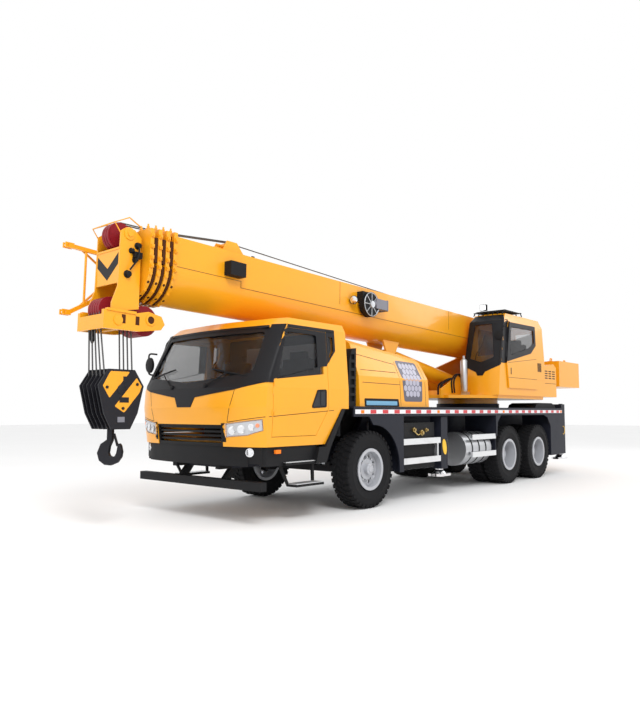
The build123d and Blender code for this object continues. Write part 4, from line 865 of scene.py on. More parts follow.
def lugs():
    """One pitch of the tread about the wheel's centre: two shoulder lugs and two middle blocks."""
    form = Form(Matrix.Translation((-AXLE_X, 0, 0)))
    low, high = TYRE_R - 0.016, TYRE_R - 0.0035
    for s in (1, -1):
        shoulder = [(-0.027, s * 0.062), (0.022, s * 0.058), (0.032, s * 0.138), (-0.024, s * 0.138)]
        form.prism(shoulder, "Z", low, high, 0.003)
        form.prism(oblong(-0.02, 0.028, s * 0.130, s * 0.1462), "Z", low - 0.03, high - 0.012, 0.004)
    form.prism([(0.012, -0.052), (0.058, -0.034), (0.058, 0.012), (0.012, -0.006)], "Z", low, high, 0.003)
    form.prism([(-0.036, 0.002), (0.006, 0.02), (0.006, 0.056), (-0.036, 0.04)], "Z", low, high, 0.003)
    return form.mesh()


def tyres():
    """Tyres with their tread; a side's profile lists half widths and radii from the bead out."""
    side = [(0.118, 0.283), (0.128, 0.300), (0.134, 0.318), (0.136, 0.33), (0.1405, 0.345),
            (0.1455, 0.40), (0.1475, 0.405), (0.1475, 0.415), (0.1458, 0.42), (0.1455, 0.44),
            (0.142, 0.475), (0.137, 0.505), (0.128, 0.521), (0.10, 0.5275)]
    profile = [(-y, r) for y, r in side] + [(0, 0.5285)] + side[::-1] + [(0.10, 0.272), (-0.10, 0.272)]
    for word, s in SIDES:
        sets = [(f"tyre_front_{word}", f"wheel_front_{word}", 0, [s * FRONT_Y])]
        sets += [(f"tyres_axle_{n}_{word}", f"wheels_axle_{n}_{word}", x, [s * y for y in TWIN_YS])
                 for n, x in AXLES_X.items()]
        for node, body, x, ys in sets:
            form = Form()
            for y in ys:
                form.lathe(profile, (x, y, TYRE_R), (0, 1, 0), 72, closed=True)
                tread = round_copies(lugs(), 38, (AXLE_X + x, y, TYRE_R), PAINTS["tyre_rubber"])
                form.bm.from_mesh(tread)
            form.piece(f"{node}_tread", body, "tyre_rubber", None, [node], crease=40)


def wheel_trim():
    """Nuts, hub caps with their screws, and the rings round the wheel discs."""
    ring_r, nuts, screws = 0.1675, 10, 6
    for word, s in SIDES:
        spots = [(f"wheel_front_{word}", f"rim_front_{word}", 0, 0.075, FRONT_Y + 0.049, FRONT_Y + 0.125)]
        spots += [(f"wheels_axle_{n}_{word}", f"rims_axle_{n}_{word}", x, 0.095, TWIN_WEB_Y + 0.009,
                   TWIN_YS[1] + 0.02) for n, x in AXLES_X.items()]
        for body, node, x, cap_r, y_web, y_cap in spots:
            turns = [2 * pi * (n + 0.5) / nuts for n in range(nuts)]
            ring = [(x + ring_r * cos(t), s * y_web, TYRE_R + ring_r * sin(t)) for t in turns]
            heads = studs(ring, (0, s, 0), 0.0165, 0.032)
            piece(f"{node}_nuts", heads, body, "rim_silver", "tank_steel")
            form, out = Form(), (0, s, 0)
            form.lathe([(-0.002, cap_r), (0.006, cap_r), (0.012, cap_r - 0.012), (0.014, cap_r * 0.55),
                        (0.022, cap_r * 0.5), (0.026, 0)], (x, s * y_cap, TYRE_R), out, 28)
            for n in range(screws):
                t = 2 * pi * n / screws
                spot = (x + cap_r * 0.76 * cos(t), s * y_cap, TYRE_R + cap_r * 0.76 * sin(t))
                form.drum(spot, out, 0.008, 0.008, 0.018, 6)
            form.lathe([(0.0, 0.232), (0.006, 0.236), (0.006, 0.226), (0.0, 0.222)],
                       (x, s * y_web, TYRE_R), out, 48, closed=True)
            form.piece(f"{node}_cap", body, "rim_silver")


# --- deck and engine hood ------------------------------------------------------------
def deck_trim():
    """The reflecting band with its red blocks, side markers, beam reflectors, deck covers, rear lamps."""
    white, red, amber = Form(), Form(), Form()
    first, pitch, gaps = 0.03, 0.292, (6, 14)
    white.box(-6.93, 0.44, 1.2495, 1.2535, 1.318, 1.378, 0.001, both=True)
    for n in range(24):
        x = first - n * pitch
        if n not in gaps:
            red.box(x - 0.068, x + 0.068, 1.252, 1.2548, 1.322, 1.374, both=True)
    for x in (0.28, -1.72, -4.06, -6.87):
        amber.box(x - 0.035, x + 0.035, 1.252, 1.258, 1.325, 1.37, 0.004, both=True)
    white.piece("deck_band", "chassis", "rim_silver", "band_white")
    red.piece("deck_band_red", "chassis", "sheave_red", "band_red")
    amber.piece("side_markers", "chassis", "lamp_clear", "amber")
    for word, x, low in (("left", -1.95, 1.219), ("right", -2.2, -1.226)):
        turns = [pi * k / 10 for k in range(20)]
        disc = [(x + 0.06 * cos(t) + 0.02 * sin(t), 0.78 + 0.125 * sin(t)) for t in turns]
        form = Form()
        form.prism(disc, "Y", low, low + 0.007, 0.002)
        form.piece(f"beam_front_{word}_reflector", f"beam_front_{word}", "crane_yellow", "reflector")
    covers = Form()
    bulge = [(-5.72, 1.398), (-5.80, 1.49), (-5.95, 1.53), (-6.62, 1.53), (-6.78, 1.49), (-6.86, 1.398)]
    covers.prism(bulge, "Y", 0.55, 1.15, 0.01, both=True)
    covers.piece("deck_covers", "chassis", "trim_black")
    lamps, red = Form(), Form()
    lamps.box(-7.035, -6.968, 0.62, 1.0, 1.05, 1.19, 0.008, both=True)
    for y, r in ((0.69, 0.05), (0.81, 0.05), (0.93, 0.04)):
        red.lathe([(0, r), (0.006, r * 0.9), (0.009, 0)], (-7.034, y, 1.12), (-1, 0, 0), 24, both=True)
    lamps.piece("rear_lamp_boxes", "chassis", "trim_black")
    red.piece("rear_lamps", "chassis", "sheave_red", "band_red")


def hood_trim():
    """The honeycomb patch, the blue strip, grooves drawn as painted shade, vents and the exhaust."""
    skin = Skin("engine_hood")
    patch = rounded([(-0.80, 2.13), (-1.40, 2.115), (-1.36, 1.50), (-0.86, 1.50)], 0.05)
    left, pitch, cell_r = min(u for u, v in patch), 0.098, 0.05
    blue_strip = rounded([(0.10, 1.44), (0.10, 1.50), (-0.66, 1.50), (-0.66, 1.44)], 0.01)
    dark_strip = rounded([(0.14, 1.422), (0.14, 1.535), (-0.70, 1.535), (-0.72, 1.422)], 0.02)
    grooves = (((0.17, 1.94), (-0.72, 1.93)), ((0.17, 1.76), (-0.76, 1.75)), ((-0.76, 1.43), (-0.76, 2.1)),
               ((0.16, 2.16), (-0.74, 2.06)), ((-1.46, 1.43), (-1.46, 2.1)))
    base, tiles, blue, dark, lines = Form(), Form(), Form(), Form(), Form()
    for word in ("left", "right"):
        base.lay(skin, word, patch, (), 0.0015, 0.003)
        for row in range(9):
            v = 1.535 + row * pitch * 0.866
            near, far = -0.86 + 0.06 * (v - 1.5) / 0.62, -1.36 - 0.04 * (v - 1.5) / 0.62
            for col in range(8):
                u = left + (col + (row % 2) / 2) * pitch
                turns = [pi * (k + 0.5) / 3 for k in range(6)]
                cell = [(u + cell_r * cos(t), v + cell_r * sin(t)) for t in turns]
                if all(far + 0.008 < a < near - 0.008 and 1.508 < b < 2.112 for a, b in cell):
                    tiles.lay(skin, word, cell, (), 0.0028, 0.001)
        blue.lay(skin, word, blue_strip, (), 0.004, 0.002)
        dark.lay(skin, word, dark_strip, (), 0.002, 0.003)
        for start, end in grooves:
            lines.seam(skin, word, start, end, 0.009)
    base.piece("hood_patch", "chassis", "rim_silver", "patch_grey")
    tiles.piece("hood_honeycomb", "chassis", "rim_silver", "patch_white")
    blue.piece("hood_blue_strip", "chassis", "crane_yellow", "strip_blue")
    dark.piece("hood_strip_edge", "chassis", "trim_black")
    # painted shade: dark brown lines where shade falls in the hood's grooves
    lines.piece("hood_grooves", "chassis", "trim_black", "groove")
    form = Form()
    for y in (-0.62, -0.30, 0.02, 0.34, 0.66):
        for k in range(7):
            x = -0.15 - 0.085 * k
            z = 2.345 + (x - 0.25) * 0.1
            form.box(x - 0.03, x + 0.03, y - 0.12, y + 0.12, z - 0.006, z + 0.012, 0.003)
    form.piece("hood_top_vents", "chassis", "trim_black")
    form = Form()
    form.tube(bent([(0.33, -0.45, 2.0), (0.33, -0.45, 2.42), (0.30, -0.62, 2.5)], 0.08), 0.055, 16)
    form.tube(bent([(0.38, 0.55, 2.05), (0.38, 0.55, 2.40), (0.30, 0.55, 2.47), (0.16, 0.55, 2.37)], 0.1),
              0.045, 14)
    form.piece("hood_pipes", "chassis", "tank_steel")


# --- operator's cab ---------------------------------------------------------------------
def op_walls():
    """Closes the operator's cab's side and its bowed front, where panes sit back."""
    rows = ((2.3, -4.28, 1.252), (2.6, -4.34, 1.2445), (3.09, -4.43, 1.229))
    walls = [[(-5.6, y0, z0), (x0, y0, z0), (x1, y1, z1), (-5.6, y1, z1)]
             for (z0, x0, y0), (z1, x1, y1) in zip(rows, rows[1:])]
    rows = ((2.2, -3.9485), (2.3, -3.961), (3.12, -4.1968))
    steps = [(y, 0.471 * (y - 0.855) ** 2) for y in (0.49 + 0.045 * k for k in range(17))]
    for (z0, x0), (z1, x1) in zip(rows, rows[1:]):
        for (y0, bow0), (y1, bow1) in zip(steps, steps[1:]):
            walls.append([(x0 - bow0, y0, z0), (x0 - bow1, y1, z0), (x1 - bow1, y1, z1),
                          (x1 - bow0, y0, z1)])
    return walls


def op_trim():
    """The sliding door's frame and grooves drawn as painted shade, and the black panels round the front screen."""
    skin = Skin("operator_cab", "operator_door", quads=op_walls())
    window = rounded([(-4.41, 2.43), (-4.49, 2.985), (-5.54, 3.005), (-5.54, 2.75), (-5.31, 2.63)], 0.05)
    frame_line = [(-4.254, 2.30), (-4.402, 3.074), (-5.622, 3.092), (-5.622, 2.70), (-5.36, 2.52)]
    form = Form()
    form.lay(skin, "left", rounded(frame_line, 0.02), [window], 0.004, 0.006)
    form.prism([(-4.248, 2.28), (-4.244, 2.28), (-4.395, 3.08), (-4.399, 3.08)], "Y", 1.2275, 1.256)
    form.lay(skin, "left", rounded(oblong(-4.43, -4.40, 2.06, 2.19), 0.012), (), 0.003, 0.003)
    form.box(-4.52, -4.44, 1.222, 1.24, 2.17, 2.195, 0.006)
    form.piece("operator_door_frame", "operator_door_body", "trim_black", "panel_black")
    form = Form()
    form.seam(skin, "left", (-4.30, 2.0), (-5.62, 2.0))
    form.seam(skin, "left", (-4.30, 2.28), (-5.62, 2.42))
    # painted shade: dark brown lines in the door's grooves
    form.piece("operator_door_grooves", "operator_door_body", "trim_black", "groove")
    post = [(-3.99, 2.27), (-4.0, 2.33), (-4.2, 3.11), (-4.44, 3.13), (-4.24, 2.27)]
    edge = [(0.487, 2.33), (0.487, 2.22), (0.76, 2.10), (0.80, 2.03), (0.91, 2.03), (0.95, 2.10),
            (1.223, 2.22), (1.223, 2.33), (1.20, 3.099), (0.487, 3.099)]
    hole = rounded([(0.605, 2.375), (0.86, 2.285), (1.10, 2.375), (1.085, 3.035), (0.625, 3.035)], 0.03)
    brow = [(0.487, 3.101), (1.198, 3.101), (1.165, 3.17), (1.12, 3.23), (0.52, 3.235)]
    corner = [(-4.015, 1.219, 2.235), (-4.0235, 1.2195, 2.3), (-4.244, 1.196, 3.10), (-4.32, 1.155, 3.17)]
    form = Form()
    form.lay(skin, "left", post, (), 0.004, 0.006)
    form.lay(skin, "front", rounded(edge, 0.01), [hole], 0.006, 0.008)
    form.lay(skin, "front", brow, (), 0.006, 0.008)
    form.tube(corner, 0.022, 8)
    form.piece("operator_cab_black", "superstructure", "trim_black", "panel_black")
    reveal = [(0.563, 2.332), (0.86, 2.234), (1.147, 2.332), (1.127, 3.077), (0.583, 3.077)]
    reveal_hole = [(0.568, 2.337), (0.86, 2.24), (1.142, 2.337), (1.122, 3.072), (0.588, 3.072)]
    form = Form()
    form.lay(skin, "front", reveal, [reveal_hole], -0.004, 0.075)
    form.piece("operator_screen_reveal", "superstructure", "interior_dark")


def op_fittings():
    """The roof guard with the wiper and mirror, work lamps, and the vents in the covers."""
    form = Form()
    for y in [0.54 + 0.1 * k for k in range(7)]:
        form.tube([(-4.32, y, 3.235), (-4.38, y, 3.30), (-5.15, y, 3.325), (-5.2, y, 3.265)], 0.011, 8)
    form.box(-5.18, -4.42, 0.53, 1.15, 3.322, 3.328)
    for x, z in ((-4.36, 3.292), (-4.75, 3.318), (-5.14, 3.328)):
        form.tube([(x, 0.52, z), (x, 1.16, z)], 0.011, 8)
    form.tube([(-4.10, 0.66, 2.31), (-4.085, 0.70, 2.45), (-4.12, 0.80, 2.62)], 0.009, 8)
    form.tube([(-4.075, 0.745, 2.42), (-4.135, 0.865, 2.82)], 0.011, 8)
    form.tube([(-4.3, 1.19, 2.95), (-4.2, 1.235, 2.98), (-4.12, 1.235, 2.9)], 0.010, 8)
    form.lathe([(-0.02, 0), (-0.018, 0.05), (0.0, 0.08), (0.012, 0.085), (0.014, 0.075)],
               (-4.11, 1.16, 2.8), (1, 0.2, 0), 24)
    form.piece("operator_roof_guard", "superstructure", "trim_black")
    glass, cup = Form(), Form()
    cup.box(-4.33, -4.27, 0.70, 0.83, 3.32, 3.44, 0.01)
    glass.box(-4.272, -4.266, 0.712, 0.818, 3.332, 3.428, 0.004)
    spot, aim = (-6.02, 1.10, 2.62), (-1, 0.4, -0.2)
    cup.lathe([(-0.07, 0), (-0.06, 0.035), (-0.01, 0.06), (0.0, 0.06), (0.0, 0.054), (-0.02, 0)],
              spot, aim, 20)
    cup.tube([(-6.05, 1.10, 2.61), (-6.05, 1.10, 2.52)], 0.01, 6)
    glass.lathe([(-0.006, 0), (-0.004, 0.054), (0.0, 0.054), (0.006, 0)], spot, aim, 20)
    cup.piece("work_lamp_cups", "superstructure", "trim_black")
    glass.piece("work_lamp_glasses", "superstructure", "lamp_clear", "lamp_chrome")
    cover = Skin("superstructure_covers", "operator_cab")
    form = Form()
    slots = [(x, x - 0.14, z, z + 0.022) for z in (2.05, 2.10, 2.15, 2.20) for x in (-6.22, -6.42, -6.62)]
    slots += [(x, x - 0.035, 2.17, 2.35) for x in (-5.74, -5.79, -5.84, -5.89)]
    for slot in slots:
        form.lay(cover, "left", oblong(*slot), (), 0.002, 0.003)
    form.seam(cover, "left", (-6.13, 1.95), (-6.82, 1.95))
    form.piece("cover_vents", "superstructure", "trim_black")


def upper_trim():
    """Counterweight marks, lifting eyes, the turntable's bolts, hoses, accumulators and winch ropes."""
    skin = Skin("counterweight")
    marks = Form()
    for v in (-1.0, -0.6, -0.2, 0.2, 0.6):
        marks.lay(skin, "rear", [(v, 1.95), (v + 0.13, 1.95), (v + 0.28, 2.16), (v + 0.15, 2.16)], (),
                  0.0015, 0.003)
    marks.piece("counterweight_marks", "superstructure", "trim_black")
    form, y = Form(), 0.95
    for x in (-7.15, -7.95):
        eye = [(x - 0.045, y, 2.48), (x - 0.045, y, 2.545), (x + 0.045, y, 2.545), (x + 0.045, y, 2.48)]
        form.box(x - 0.07, x + 0.07, y - 0.05, y + 0.05, 2.469, 2.485, 0.003, both=True)
        form.tube(bent(eye, 0.04), 0.013, 10, both=True)
    form.piece("counterweight_eyes", "superstructure", "crane_yellow")
    bolts = 36
    turns = [2 * pi * n / bolts for n in range(bolts)]
    heads = studs([(-5.0 + 0.60 * cos(t), 0.60 * sin(t), 1.66) for t in turns], (0, 0, 1), 0.017, 0.022)
    piece("turntable_bolts", heads, "superstructure", "crane_yellow", "tank_steel")
    form = Form()
    for y, reach in ((0.30, 0.0), (0.345, 0.05), (0.22, -0.05)):
        form.tube(bent([(-3.45, y, 1.67), (-3.4 + reach, y, 1.86), (-3.9 + reach, y, 2.02),
                        (-4.45, y * 0.8, 1.90), (-4.5, y * 0.8, 1.67)], 0.18), 0.017, 10)
    for y in (0.47, 0.52):
        form.tube(bent([(-3.55, y, 1.70), (-3.5, y, 1.95), (-3.75, y, 2.1), (-4.1, y, 1.85),
                        (-4.6, y, 1.72)], 0.15), 0.015, 10)
    form.piece("upper_hoses", "superstructure", "trim_black")
    form = Form()
    form.lathe([(0, 0), (0.012, 0.05), (0.04, 0.066), (0.60, 0.066), (0.63, 0.05), (0.65, 0.02),
                (0.70, 0.02), (0.70, 0)], (-3.66, 0.66, 1.70), (0, 0, 1), 24)
    form.box(-3.76, -3.64, 0.60, 0.72, 1.655, 1.72, 0.006)
    form.piece("accumulators", "superstructure", "tank_steel")
    form = Form()
    coils = [spot for k in range(27) for spot in ((-0.29 + k * 0.022, 0.166), (-0.279 + k * 0.022, 0.174))]
    for x, z in ((-6.56, 1.99), (-5.95, 1.96)):
        form.lathe([(-0.292, 0.151)] + coils + [(0.294, 0.151)], (x, 0, z), (0, 1, 0), 36, closed=True)
    form.piece("winch_ropes", "superstructure", "rope_steel")


# --- boom: x runs along it, z stands on it, both from its pivot --------------------------
BOOM = Matrix.Translation((-6.2, 0, 2.815)) @ Matrix.Rotation(radians(-1.45), 4, "Y")


def boom_seams():
    """Fine welded seams along and across the base section's sides, drawn in dark brown as painted shade."""
    form = Form(BOOM)
    for x0, x1, z0, z1 in ((7.95, 8.99, 0.03, 0.036), (7.944, 7.95, -0.055, 0.036),
                           (0.3, 7.95, -0.055, -0.049), (2.6, 2.606, 0.036, 0.39),
                           (5.9, 5.906, 0.036, 0.39)):
        form.box(x0, x1, 0.3795, 0.3825, z0, z1, both=True)
    # painted shade along the seams
    form.piece("boom_seams", "boom_1", "trim_black", "groove")


def collars():
    """Side lugs, top pads with their screws, belly studs, and painted shade: dark discs between the studs and dark
    slots in the gaps.
    """
    first, pitch, step = 9.0, 0.105, 0.006
    for n in range(4):
        x = first + pitch * n
        mid, r, top = x + 0.025, 0.414 - step * n, 0.429 - step * n
        # shade gathers painted shade: dark brown pieces where shade falls between the studs and between the
        # collars
        form, shade = Form(BOOM), Form(BOOM)
        for z in (-0.03, 0.07, 0.20, 0.33):
            form.box(x + 0.006, x + 0.044, r - 0.004, r + 0.022, z - 0.022, z + 0.022, 0.005, both=True)
            form.drum((mid, r + 0.02, z), LEFT, 0.013, 0, 0.012, 6, both=True)
        for y in (0.30, 0.16):
            form.box(x + 0.008, x + 0.042, y - 0.03, y + 0.03, top - 0.003, top + 0.016, 0.004, both=True)
            form.drum((mid, y, top + 0.012), (0, 0, 1), 0.011, 0, 0.055, 8, both=True)
            form.drum((mid, y, top + 0.022), (0, 0, 1), 0.019, 0, 0.018, 6, both=True)
        for k in range(1, 12):
            t = pi + pi * k / 12
            out = Vector((0, cos(t), sin(t)))
            spot = Vector((mid, 0, -0.015)) + out * r
            if k % 2:
                form.lathe([(-0.006, 0.021), (0.012, 0.021), (0.014, 0.012), (0.02, 0.012), (0.02, 0)],
                           spot, out, 10)
            else:
                # painted shade: a dark disc between two belly studs
                shade.drum(spot, out, 0.017, -0.004, 0.0012, 14)
        if n < 3:
            # painted shade in the gap before the next collar: a slot on each side and a band round the belly
            shade.box(x + 0.049, x + 0.088, 0.36, r - 0.012, 0.02, 0.31, 0.004, both=True)
            turns = [pi + pi * k / 24 for k in range(25)]
            run = [(r * 0.955 * cos(t), r * 0.955 * sin(t) - 0.015) for t in turns]
            inside = [(y * 0.95, (z + 0.015) * 0.95 - 0.015) for y, z in run[::-1]]
            shade.prism(run + inside, "X", x + 0.0495, x + 0.085)
        form.piece(f"collar_lugs_{n + 1}", f"boom_{n + 1}", "crane_yellow")
        shade.piece(f"collar_painted_shade_{n + 1}", f"boom_{n + 1}", "trim_black", "hollow")


def boom_ropes():
    """The rope along the boom's top, on either side of the joint in front of the collars."""
    rear, front, rope_r = Form(BOOM), Form(BOOM), 0.008
    for y in (-0.03, 0.03):
        rear.tube([(8.03, y + 0.17, 0.572), (9.03, y, 0.508)], rope_r, 8)
        front.tube([(9.05, y, 0.508), (9.545, y, 0.495)], rope_r, 8)
    rear.tube([(0.3, 0.12, 0.42), (3.9, 0.14, 0.46), (7.97, 0.17, 0.565)], rope_r, 8)
    rear.piece("boom_rope_rear", "boom_1", "rope_steel")
    front.piece("boom_rope_front", "boom_5", "rope_steel")


def boom_fittings():
    """The cable reel with its motor, the boom lamp and the rope guide."""
    x, z, y = 5.28, 0.11, 0.526
    form = Form(BOOM)
    for k in range(8):
        t = 2 * pi * k / 8
        form.tube([(x + r * cos(t), y + 0.008, z + r * sin(t)) for r in (0.05, 0.185)], 0.008, 6)
    form.lathe([(0, 0.19), (0.008, 0.196), (0.014, 0.188), (0.006, 0.18)], (x, y, z), LEFT, 36, closed=True)
    form.lathe([(0, 0.06), (0.03, 0.055), (0.034, 0)], (x, y, z), LEFT, 20)
    form.piece("cable_reel_drum", "boom_1", "tank_steel")
    form = Form(BOOM)
    form.box(x - 0.40, x - 0.10, 0.44, 0.56, z - 0.05, z + 0.11, 0.015)
    form.lathe([(0, 0.06), (0.05, 0.055), (0.055, 0)], (x - 0.10, 0.50, z + 0.03), (1, 0, 0), 20)
    form.box(x - 0.42, x - 0.395, 0.38, 0.56, z - 0.06, z + 0.12, 0.006)
    form.piece("cable_reel_motor", "boom_1", "tank_steel", "motor_grey")
    lamp, aim = (5.67, 0.47, 0.13), (1, 0.35, -0.2)
    form = Form(BOOM)
    form.lathe([(-0.09, 0), (-0.08, 0.04), (-0.01, 0.068), (0.0, 0.068), (0.0, 0.06), (-0.02, 0)],
               lamp, aim, 24)
    form.tube([(5.62, 0.38, 0.12), (5.62, 0.46, 0.13)], 0.014, 8)
    form.piece("boom_lamp_cup", "boom_1", "trim_black")
    form = Form(BOOM)
    form.lathe([(-0.006, 0), (-0.004, 0.059), (0.0, 0.059), (0.008, 0.03), (0.01, 0)], lamp, aim, 24)
    form.piece("boom_lamp_face", "boom_1", "lamp_clear", "lamp_chrome")
    form = Form(BOOM)
    for y in (0.05, 0.27):
        form.prism([(7.80, 0.393), (8.20, 0.393), (8.12, 0.56), (7.95, 0.56)], "Y", y, y + 0.012)
    form.lathe([(-0.10, 0.034), (0.10, 0.034), (0.10, 0.02), (-0.10, 0.02)], (8.03, 0.166, 0.53), LEFT, 20,
               closed=True)
    form.box(8.12, 8.30, 0.08, 0.25, 0.393, 0.45, 0.01)
    form.piece("rope_guide", "boom_1", "crane_yellow")


def head_trim():
    """Fittings, the chevron, bosses, rope guards, and painted shade in the dark hollows on the boom's head."""
    form = Form(BOOM)
    for x, z, r in ((9.44, 0.20, 0.03), (9.52, 0.13, 0.022), (9.47, 0.03, 0.024), (9.56, -0.15, 0.034)):
        form.lathe([(-0.004, r + 0.012), (0.008, r + 0.012), (0.012, r), (0.045, r), (0.05, r * 0.6),
                    (0.05, 0)], (x, 0.249, z), LEFT, 18)
    form.box(9.40, 9.50, 0.25, 0.30, 0.05, 0.12, 0.008)
    form.tube(bent([(9.44, 0.29, 0.18), (9.46, 0.33, 0.08), (9.5, 0.31, -0.02), (9.55, 0.29, -0.1)], 0.06),
              0.011, 8)
    form.piece("head_fittings", "boom_5", "trim_black")
    form = Form(BOOM)
    chevron = [(0, -0.21), (0.215, -0.04), (0.215, 0.09), (0, -0.075), (-0.215, 0.09), (-0.215, -0.04)]
    form.prism(chevron, "X", 9.6595, 9.6625)
    form.piece("head_chevron", "boom_5", "trim_black", "panel_black")
    rear_boss = (9.24, 0.274, -0.64)
    lip = rounded([(9.44, -0.57), (9.81, -0.57), (9.81, -0.595), (9.44, -0.60)], 0.004)
    form = Form(BOOM)
    form.lathe([(0, 0.07), (0.012, 0.066), (0.014, 0.045), (0.0, 0.045)], rear_boss, LEFT, 24, both=True)
    form.lathe([(0, 0.06), (0.012, 0.056), (0.016, 0)], (9.665, 0.274, -0.69), LEFT, 20, both=True)
    form.lathe([(0, 0.075), (0.014, 0.07), (0.018, 0.035), (0.03, 0.035), (0.03, 0)],
               (9.55, 0.249, 0.322), LEFT, 24, both=True)
    form.prism(lip, "Y", 0.24, 0.29, both=True)
    form.tube([(9.63, 0.235, 0.28), (9.735, 0.235, 0.42), (9.55, 0.235, 0.515), (9.40, 0.235, 0.44)],
              0.008, 8, both=True)
    form.tube([(9.735, -0.235, 0.42), (9.735, 0.235, 0.42)], 0.008, 8)
    form.box(9.655, 9.668, -0.232, 0.232, 0.128, 0.15, 0.003)
    form.piece("head_bosses", "boom_5", "crane_yellow")
    form = Form(BOOM)
    # painted shade: a dark disc in the rear boss's bore and dark marks in the hollows below it
    form.lathe([(0, 0.045), (0.008, 0.044), (0.009, 0)], rear_boss, LEFT, 24, both=True)
    for x in (9.39, 9.57):
        form.box(x, x + 0.05, 0.274, 0.2775, -0.72, -0.62, 0.004, both=True)
    form.piece("head_hollows", "boom_5", "trim_black", "hollow")


# --- hook block --------------------------------------------------------------------------
HOOK_X, HOOK_Z, CHEEK_Y = 3.37, 1.6, 0.2035


def clipped(outline, normal, limit):
    """The part of an outline where the point's distance along normal is below limit."""
    kept = []
    for a, b in zip(outline, outline[1:] + outline[:1]):
        da, db = (p[0] * normal[0] + p[1] * normal[1] - limit for p in (a, b))
        if da <= 0:
            kept.append(a)
        if da * db < 0:
            t = da / (da - db)
            kept.append((a[0] + (b[0] - a[0]) * t, a[1] + (b[1] - a[1]) * t))
    return kept


def hook_trim():
    """Warning stripes, plates and studs on the cheek plates."""
    stripes, plates, name_plate, heads = Form(), Form(), Form(), Form()
    region = [(-0.145, 0.20), (0.145, 0.20), (0.262, 0.04), (0.168, -0.20), (0.03, -0.26),
              (-0.10, -0.18), (-0.235, 0.035)]
    across = (0.76, -0.65)
    for s in (1, -1):
        for low, high in ((-0.235, -0.05), (0.06, 0.20)):
            cut = clipped(clipped(region, across, high), (-across[0], -across[1]), -low)
            stripe = [(HOOK_X - s * h, HOOK_Z + v) for h, v in rounded(cut, 0.012)]
            stripes.prism(stripe, "Y", s * CHEEK_Y, s * (CHEEK_Y + 0.002))
        for h, v in ((-0.185, 0.02), (0.02, -0.215), (0.20, 0.06)):
            heads.drum((HOOK_X - s * h, s * (CHEEK_Y + 0.001), HOOK_Z + v), (0, s, 0), 0.018, 0, 0.012, 6)
        heads.lathe([(0, 0.055), (0.006, 0.055), (0.012, 0.045), (0.014, 0)],
                    (HOOK_X, s * CHEEK_Y, HOOK_Z), (0, s, 0), 28)
        for h, v, half in ((0.045, 0.115, (0.028, 0.03)), (0.035, -0.12, (0.06, 0.03))):
            x, z = HOOK_X - s * h, HOOK_Z + v
            plates.box(x - half[0], x + half[0], s * CHEEK_Y, s * (CHEEK_Y + 0.004), z - half[1],
                       z + half[1], 0.002)
    name_plate.box(HOOK_X - 0.045, HOOK_X + 0.045, CHEEK_Y, CHEEK_Y + 0.003, HOOK_Z - 0.37, HOOK_Z - 0.31,
                   0.002, both=True)
    stripes.piece("hook_stripes", "hook", "crane_yellow")
    plates.piece("hook_plates", "hook", "hook_dark")
    name_plate.piece("hook_name_plate", "hook", "hook_dark", "motor_grey")
    heads.piece("hook_studs", "hook", "hook_dark")


def rope_falls():
    """Nine falls of rope between the hook block and the head, and the rope's end socket."""
    falls, pitch, rope_r = Form(), 0.0875, 0.009
    foot, top = HOOK_Z + 0.02, 2.5
    for k in range(5):
        y = pitch * (k - 2)
        falls.tube([(HOOK_X + 0.186, y, foot), (HOOK_X + 0.245, y * 0.6, top)], rope_r, 8)
    for k in range(4):
        y = pitch * (k - 1.5)
        falls.tube([(HOOK_X - 0.186, y, foot), (HOOK_X - 0.15, y * 0.9, top - 0.06)], rope_r, 8)
    long_edges = [e for e in falls.bm.edges if e.calc_length() > 0.3]
    bmesh.ops.subdivide_edges(falls.bm, edges=long_edges, cuts=16)
    ropes = falls.loose("rope_falls", PAINTS["rope_steel"])
    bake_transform(ropes)
    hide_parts("hoist_ropes")
    form = Form()
    form.lathe([(0, 0.05), (0.16, 0.028), (0.2, 0.012), (0.2, 0)], (3.52, -0.19, 2.335), (0, 0, -1), 16)
    form.piece("rope_socket", "boom_5", "trim_black")


# --- below the frame -------------------------------------------------------------------
def running_gear():
    """Leaf springs with their seats, and the shafts to the axles."""
    form, y = Form(), 0.43
    for k in range(5):
        half = 0.62 - 0.1 * k
        for x, z, reach, rise in ((0, 0.688 - 0.018 * k, half, 0.10 * half ** 2),
                                  (-5.0, 0.588 + 0.018 * k, half * 1.05, 0.07 * half ** 2)):
            run = [(x + reach * t / 6, z + rise * (t / 6) ** 2) for t in range(-6, 7)]
            for (x0, z0), (x1, z1) in zip(run, run[1:]):
                leaf = [(x0, z0), (x1 + 0.002, z1), (x1 + 0.002, z1 + 0.014), (x0, z0 + 0.014)]
                form.prism(leaf, "Y", y - 0.04, y + 0.04, both=True)
    form.box(-0.05, 0.05, y - 0.055, y + 0.055, 0.58, 0.71, 0.006, both=True)
    form.box(-5.09, -4.91, y - 0.05, y + 0.05, 0.55, 0.72, 0.01, both=True)
    form.tube([(-1.3, 0, 0.84), (-4.1, 0, 0.60)], 0.055, 16)
    form.tube([(-4.55, 0, 0.58), (-5.45, 0, 0.58)], 0.05, 16)
    form.tube([(0.55, 0.35, 0.72), (-0.15, 0.42, 0.60)], 0.022, 10)
    form.piece("running_gear", "chassis", "axle_dark")


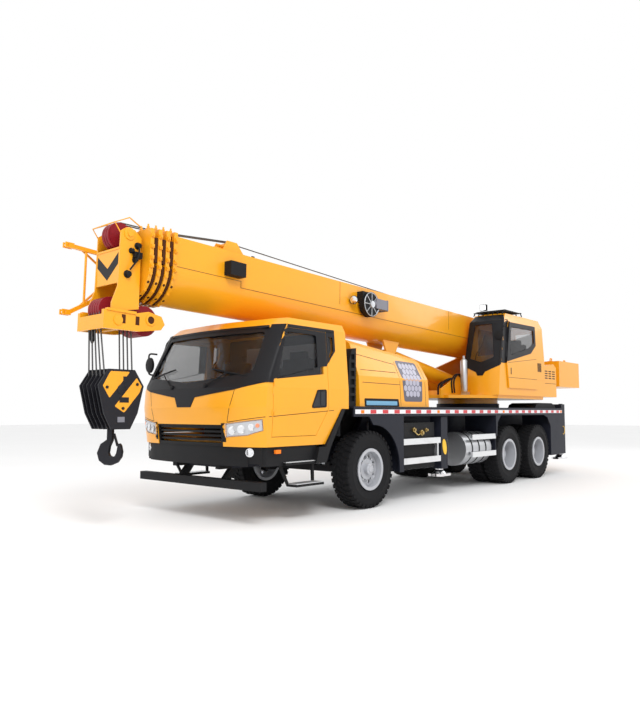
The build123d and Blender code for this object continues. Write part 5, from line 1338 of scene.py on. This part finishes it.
def side_fittings():
    """Tank straps, the side boxes with their ribs and valves, rear posts and reflectors."""
    form = Form()
    for x in (-2.95, -3.2, -3.45):
        form.lathe([(-0.02, 0.2935), (0.02, 0.2935), (0.02, 0.289), (-0.02, 0.289)], (x, 0.9, 0.7),
                   (1, 0, 0), 40, closed=True, both=True)
    form.lathe([(0, 0.05), (0.03, 0.05), (0.035, 0.04), (0.035, 0)], (-3.05, 0.97, 0.975), (0, 0, 1), 20,
               both=True)
    for z in (0.62, 0.80, 0.98):
        form.box(-1.72, -0.89, 1.149, 1.156, z - 0.008, z + 0.008, 0.002, both=True)
    form.box(-1.315, -1.295, 1.149, 1.155, 0.49, 1.16, 0.001, both=True)
    for x in (-1.25, -1.36):
        form.box(x - 0.015, x + 0.015, 1.15, 1.166, 0.86, 0.95, 0.005, both=True)
    form.box(-1.738, -0.872, 0.62, 1.159, 0.472, 1.18, 0.012, both=True)
    form.box(-7.085, -7.04, 1.14, 1.215, 0.66, 1.52, 0.008, both=True)
    form.lathe([(0, 0.09), (0.05, 0.09), (0.055, 0.08), (0.055, 0)], (-7.04, 1.10, 0.94), (-1, 0, 0), 24,
               both=True)
    form.piece("tank_straps", "chassis", "trim_black")
    form = Form()
    form.lathe([(0, 0.078), (0.006, 0.075), (0.008, 0)], (-7.096, 1.10, 0.94), (-1, 0, 0), 24, both=True)
    form.lathe([(0, 0.09), (0.012, 0.09), (0.012, 0.08), (0, 0.08)], (-7.06, 1.215, 0.94), LEFT, 24,
               closed=True, both=True)
    form.piece("rear_reflectors", "chassis", "crane_yellow", "reflector")
    form = Form()
    for x, z, r in ((-1.12, 1.07, 0.035), (-1.34, 1.02, 0.045), (-1.47, 1.06, 0.03)):
        form.lathe([(0, r), (0.03, r), (0.034, r * 0.6), (0.055, r * 0.6), (0.055, 0)], (x, 1.155, z), LEFT,
                   16, both=True)
    form.tube(bent([(-1.12, 1.17, 1.07), (-1.2, 1.19, 0.98), (-1.34, 1.18, 1.02)], 0.05), 0.010, 8,
              both=True)
    form.piece("side_valves", "chassis", "tank_steel", "brass")


camera()
studio()
for row in frame["record"]["subparts"]:
    node = frame["nodes"][row["node"]]
    node.data.materials.clear()
    node.data.materials.append(PAINTS[row["material_slot"]])
for build in (cab_trim, cab_wipers, cab_lamps, cab_fittings, tyres, wheel_trim, deck_trim, hood_trim,
              op_trim, op_fittings, upper_trim, boom_seams, collars, boom_ropes, boom_fittings, head_trim,
              hook_trim, rope_falls, running_gear, side_fittings):
    build()
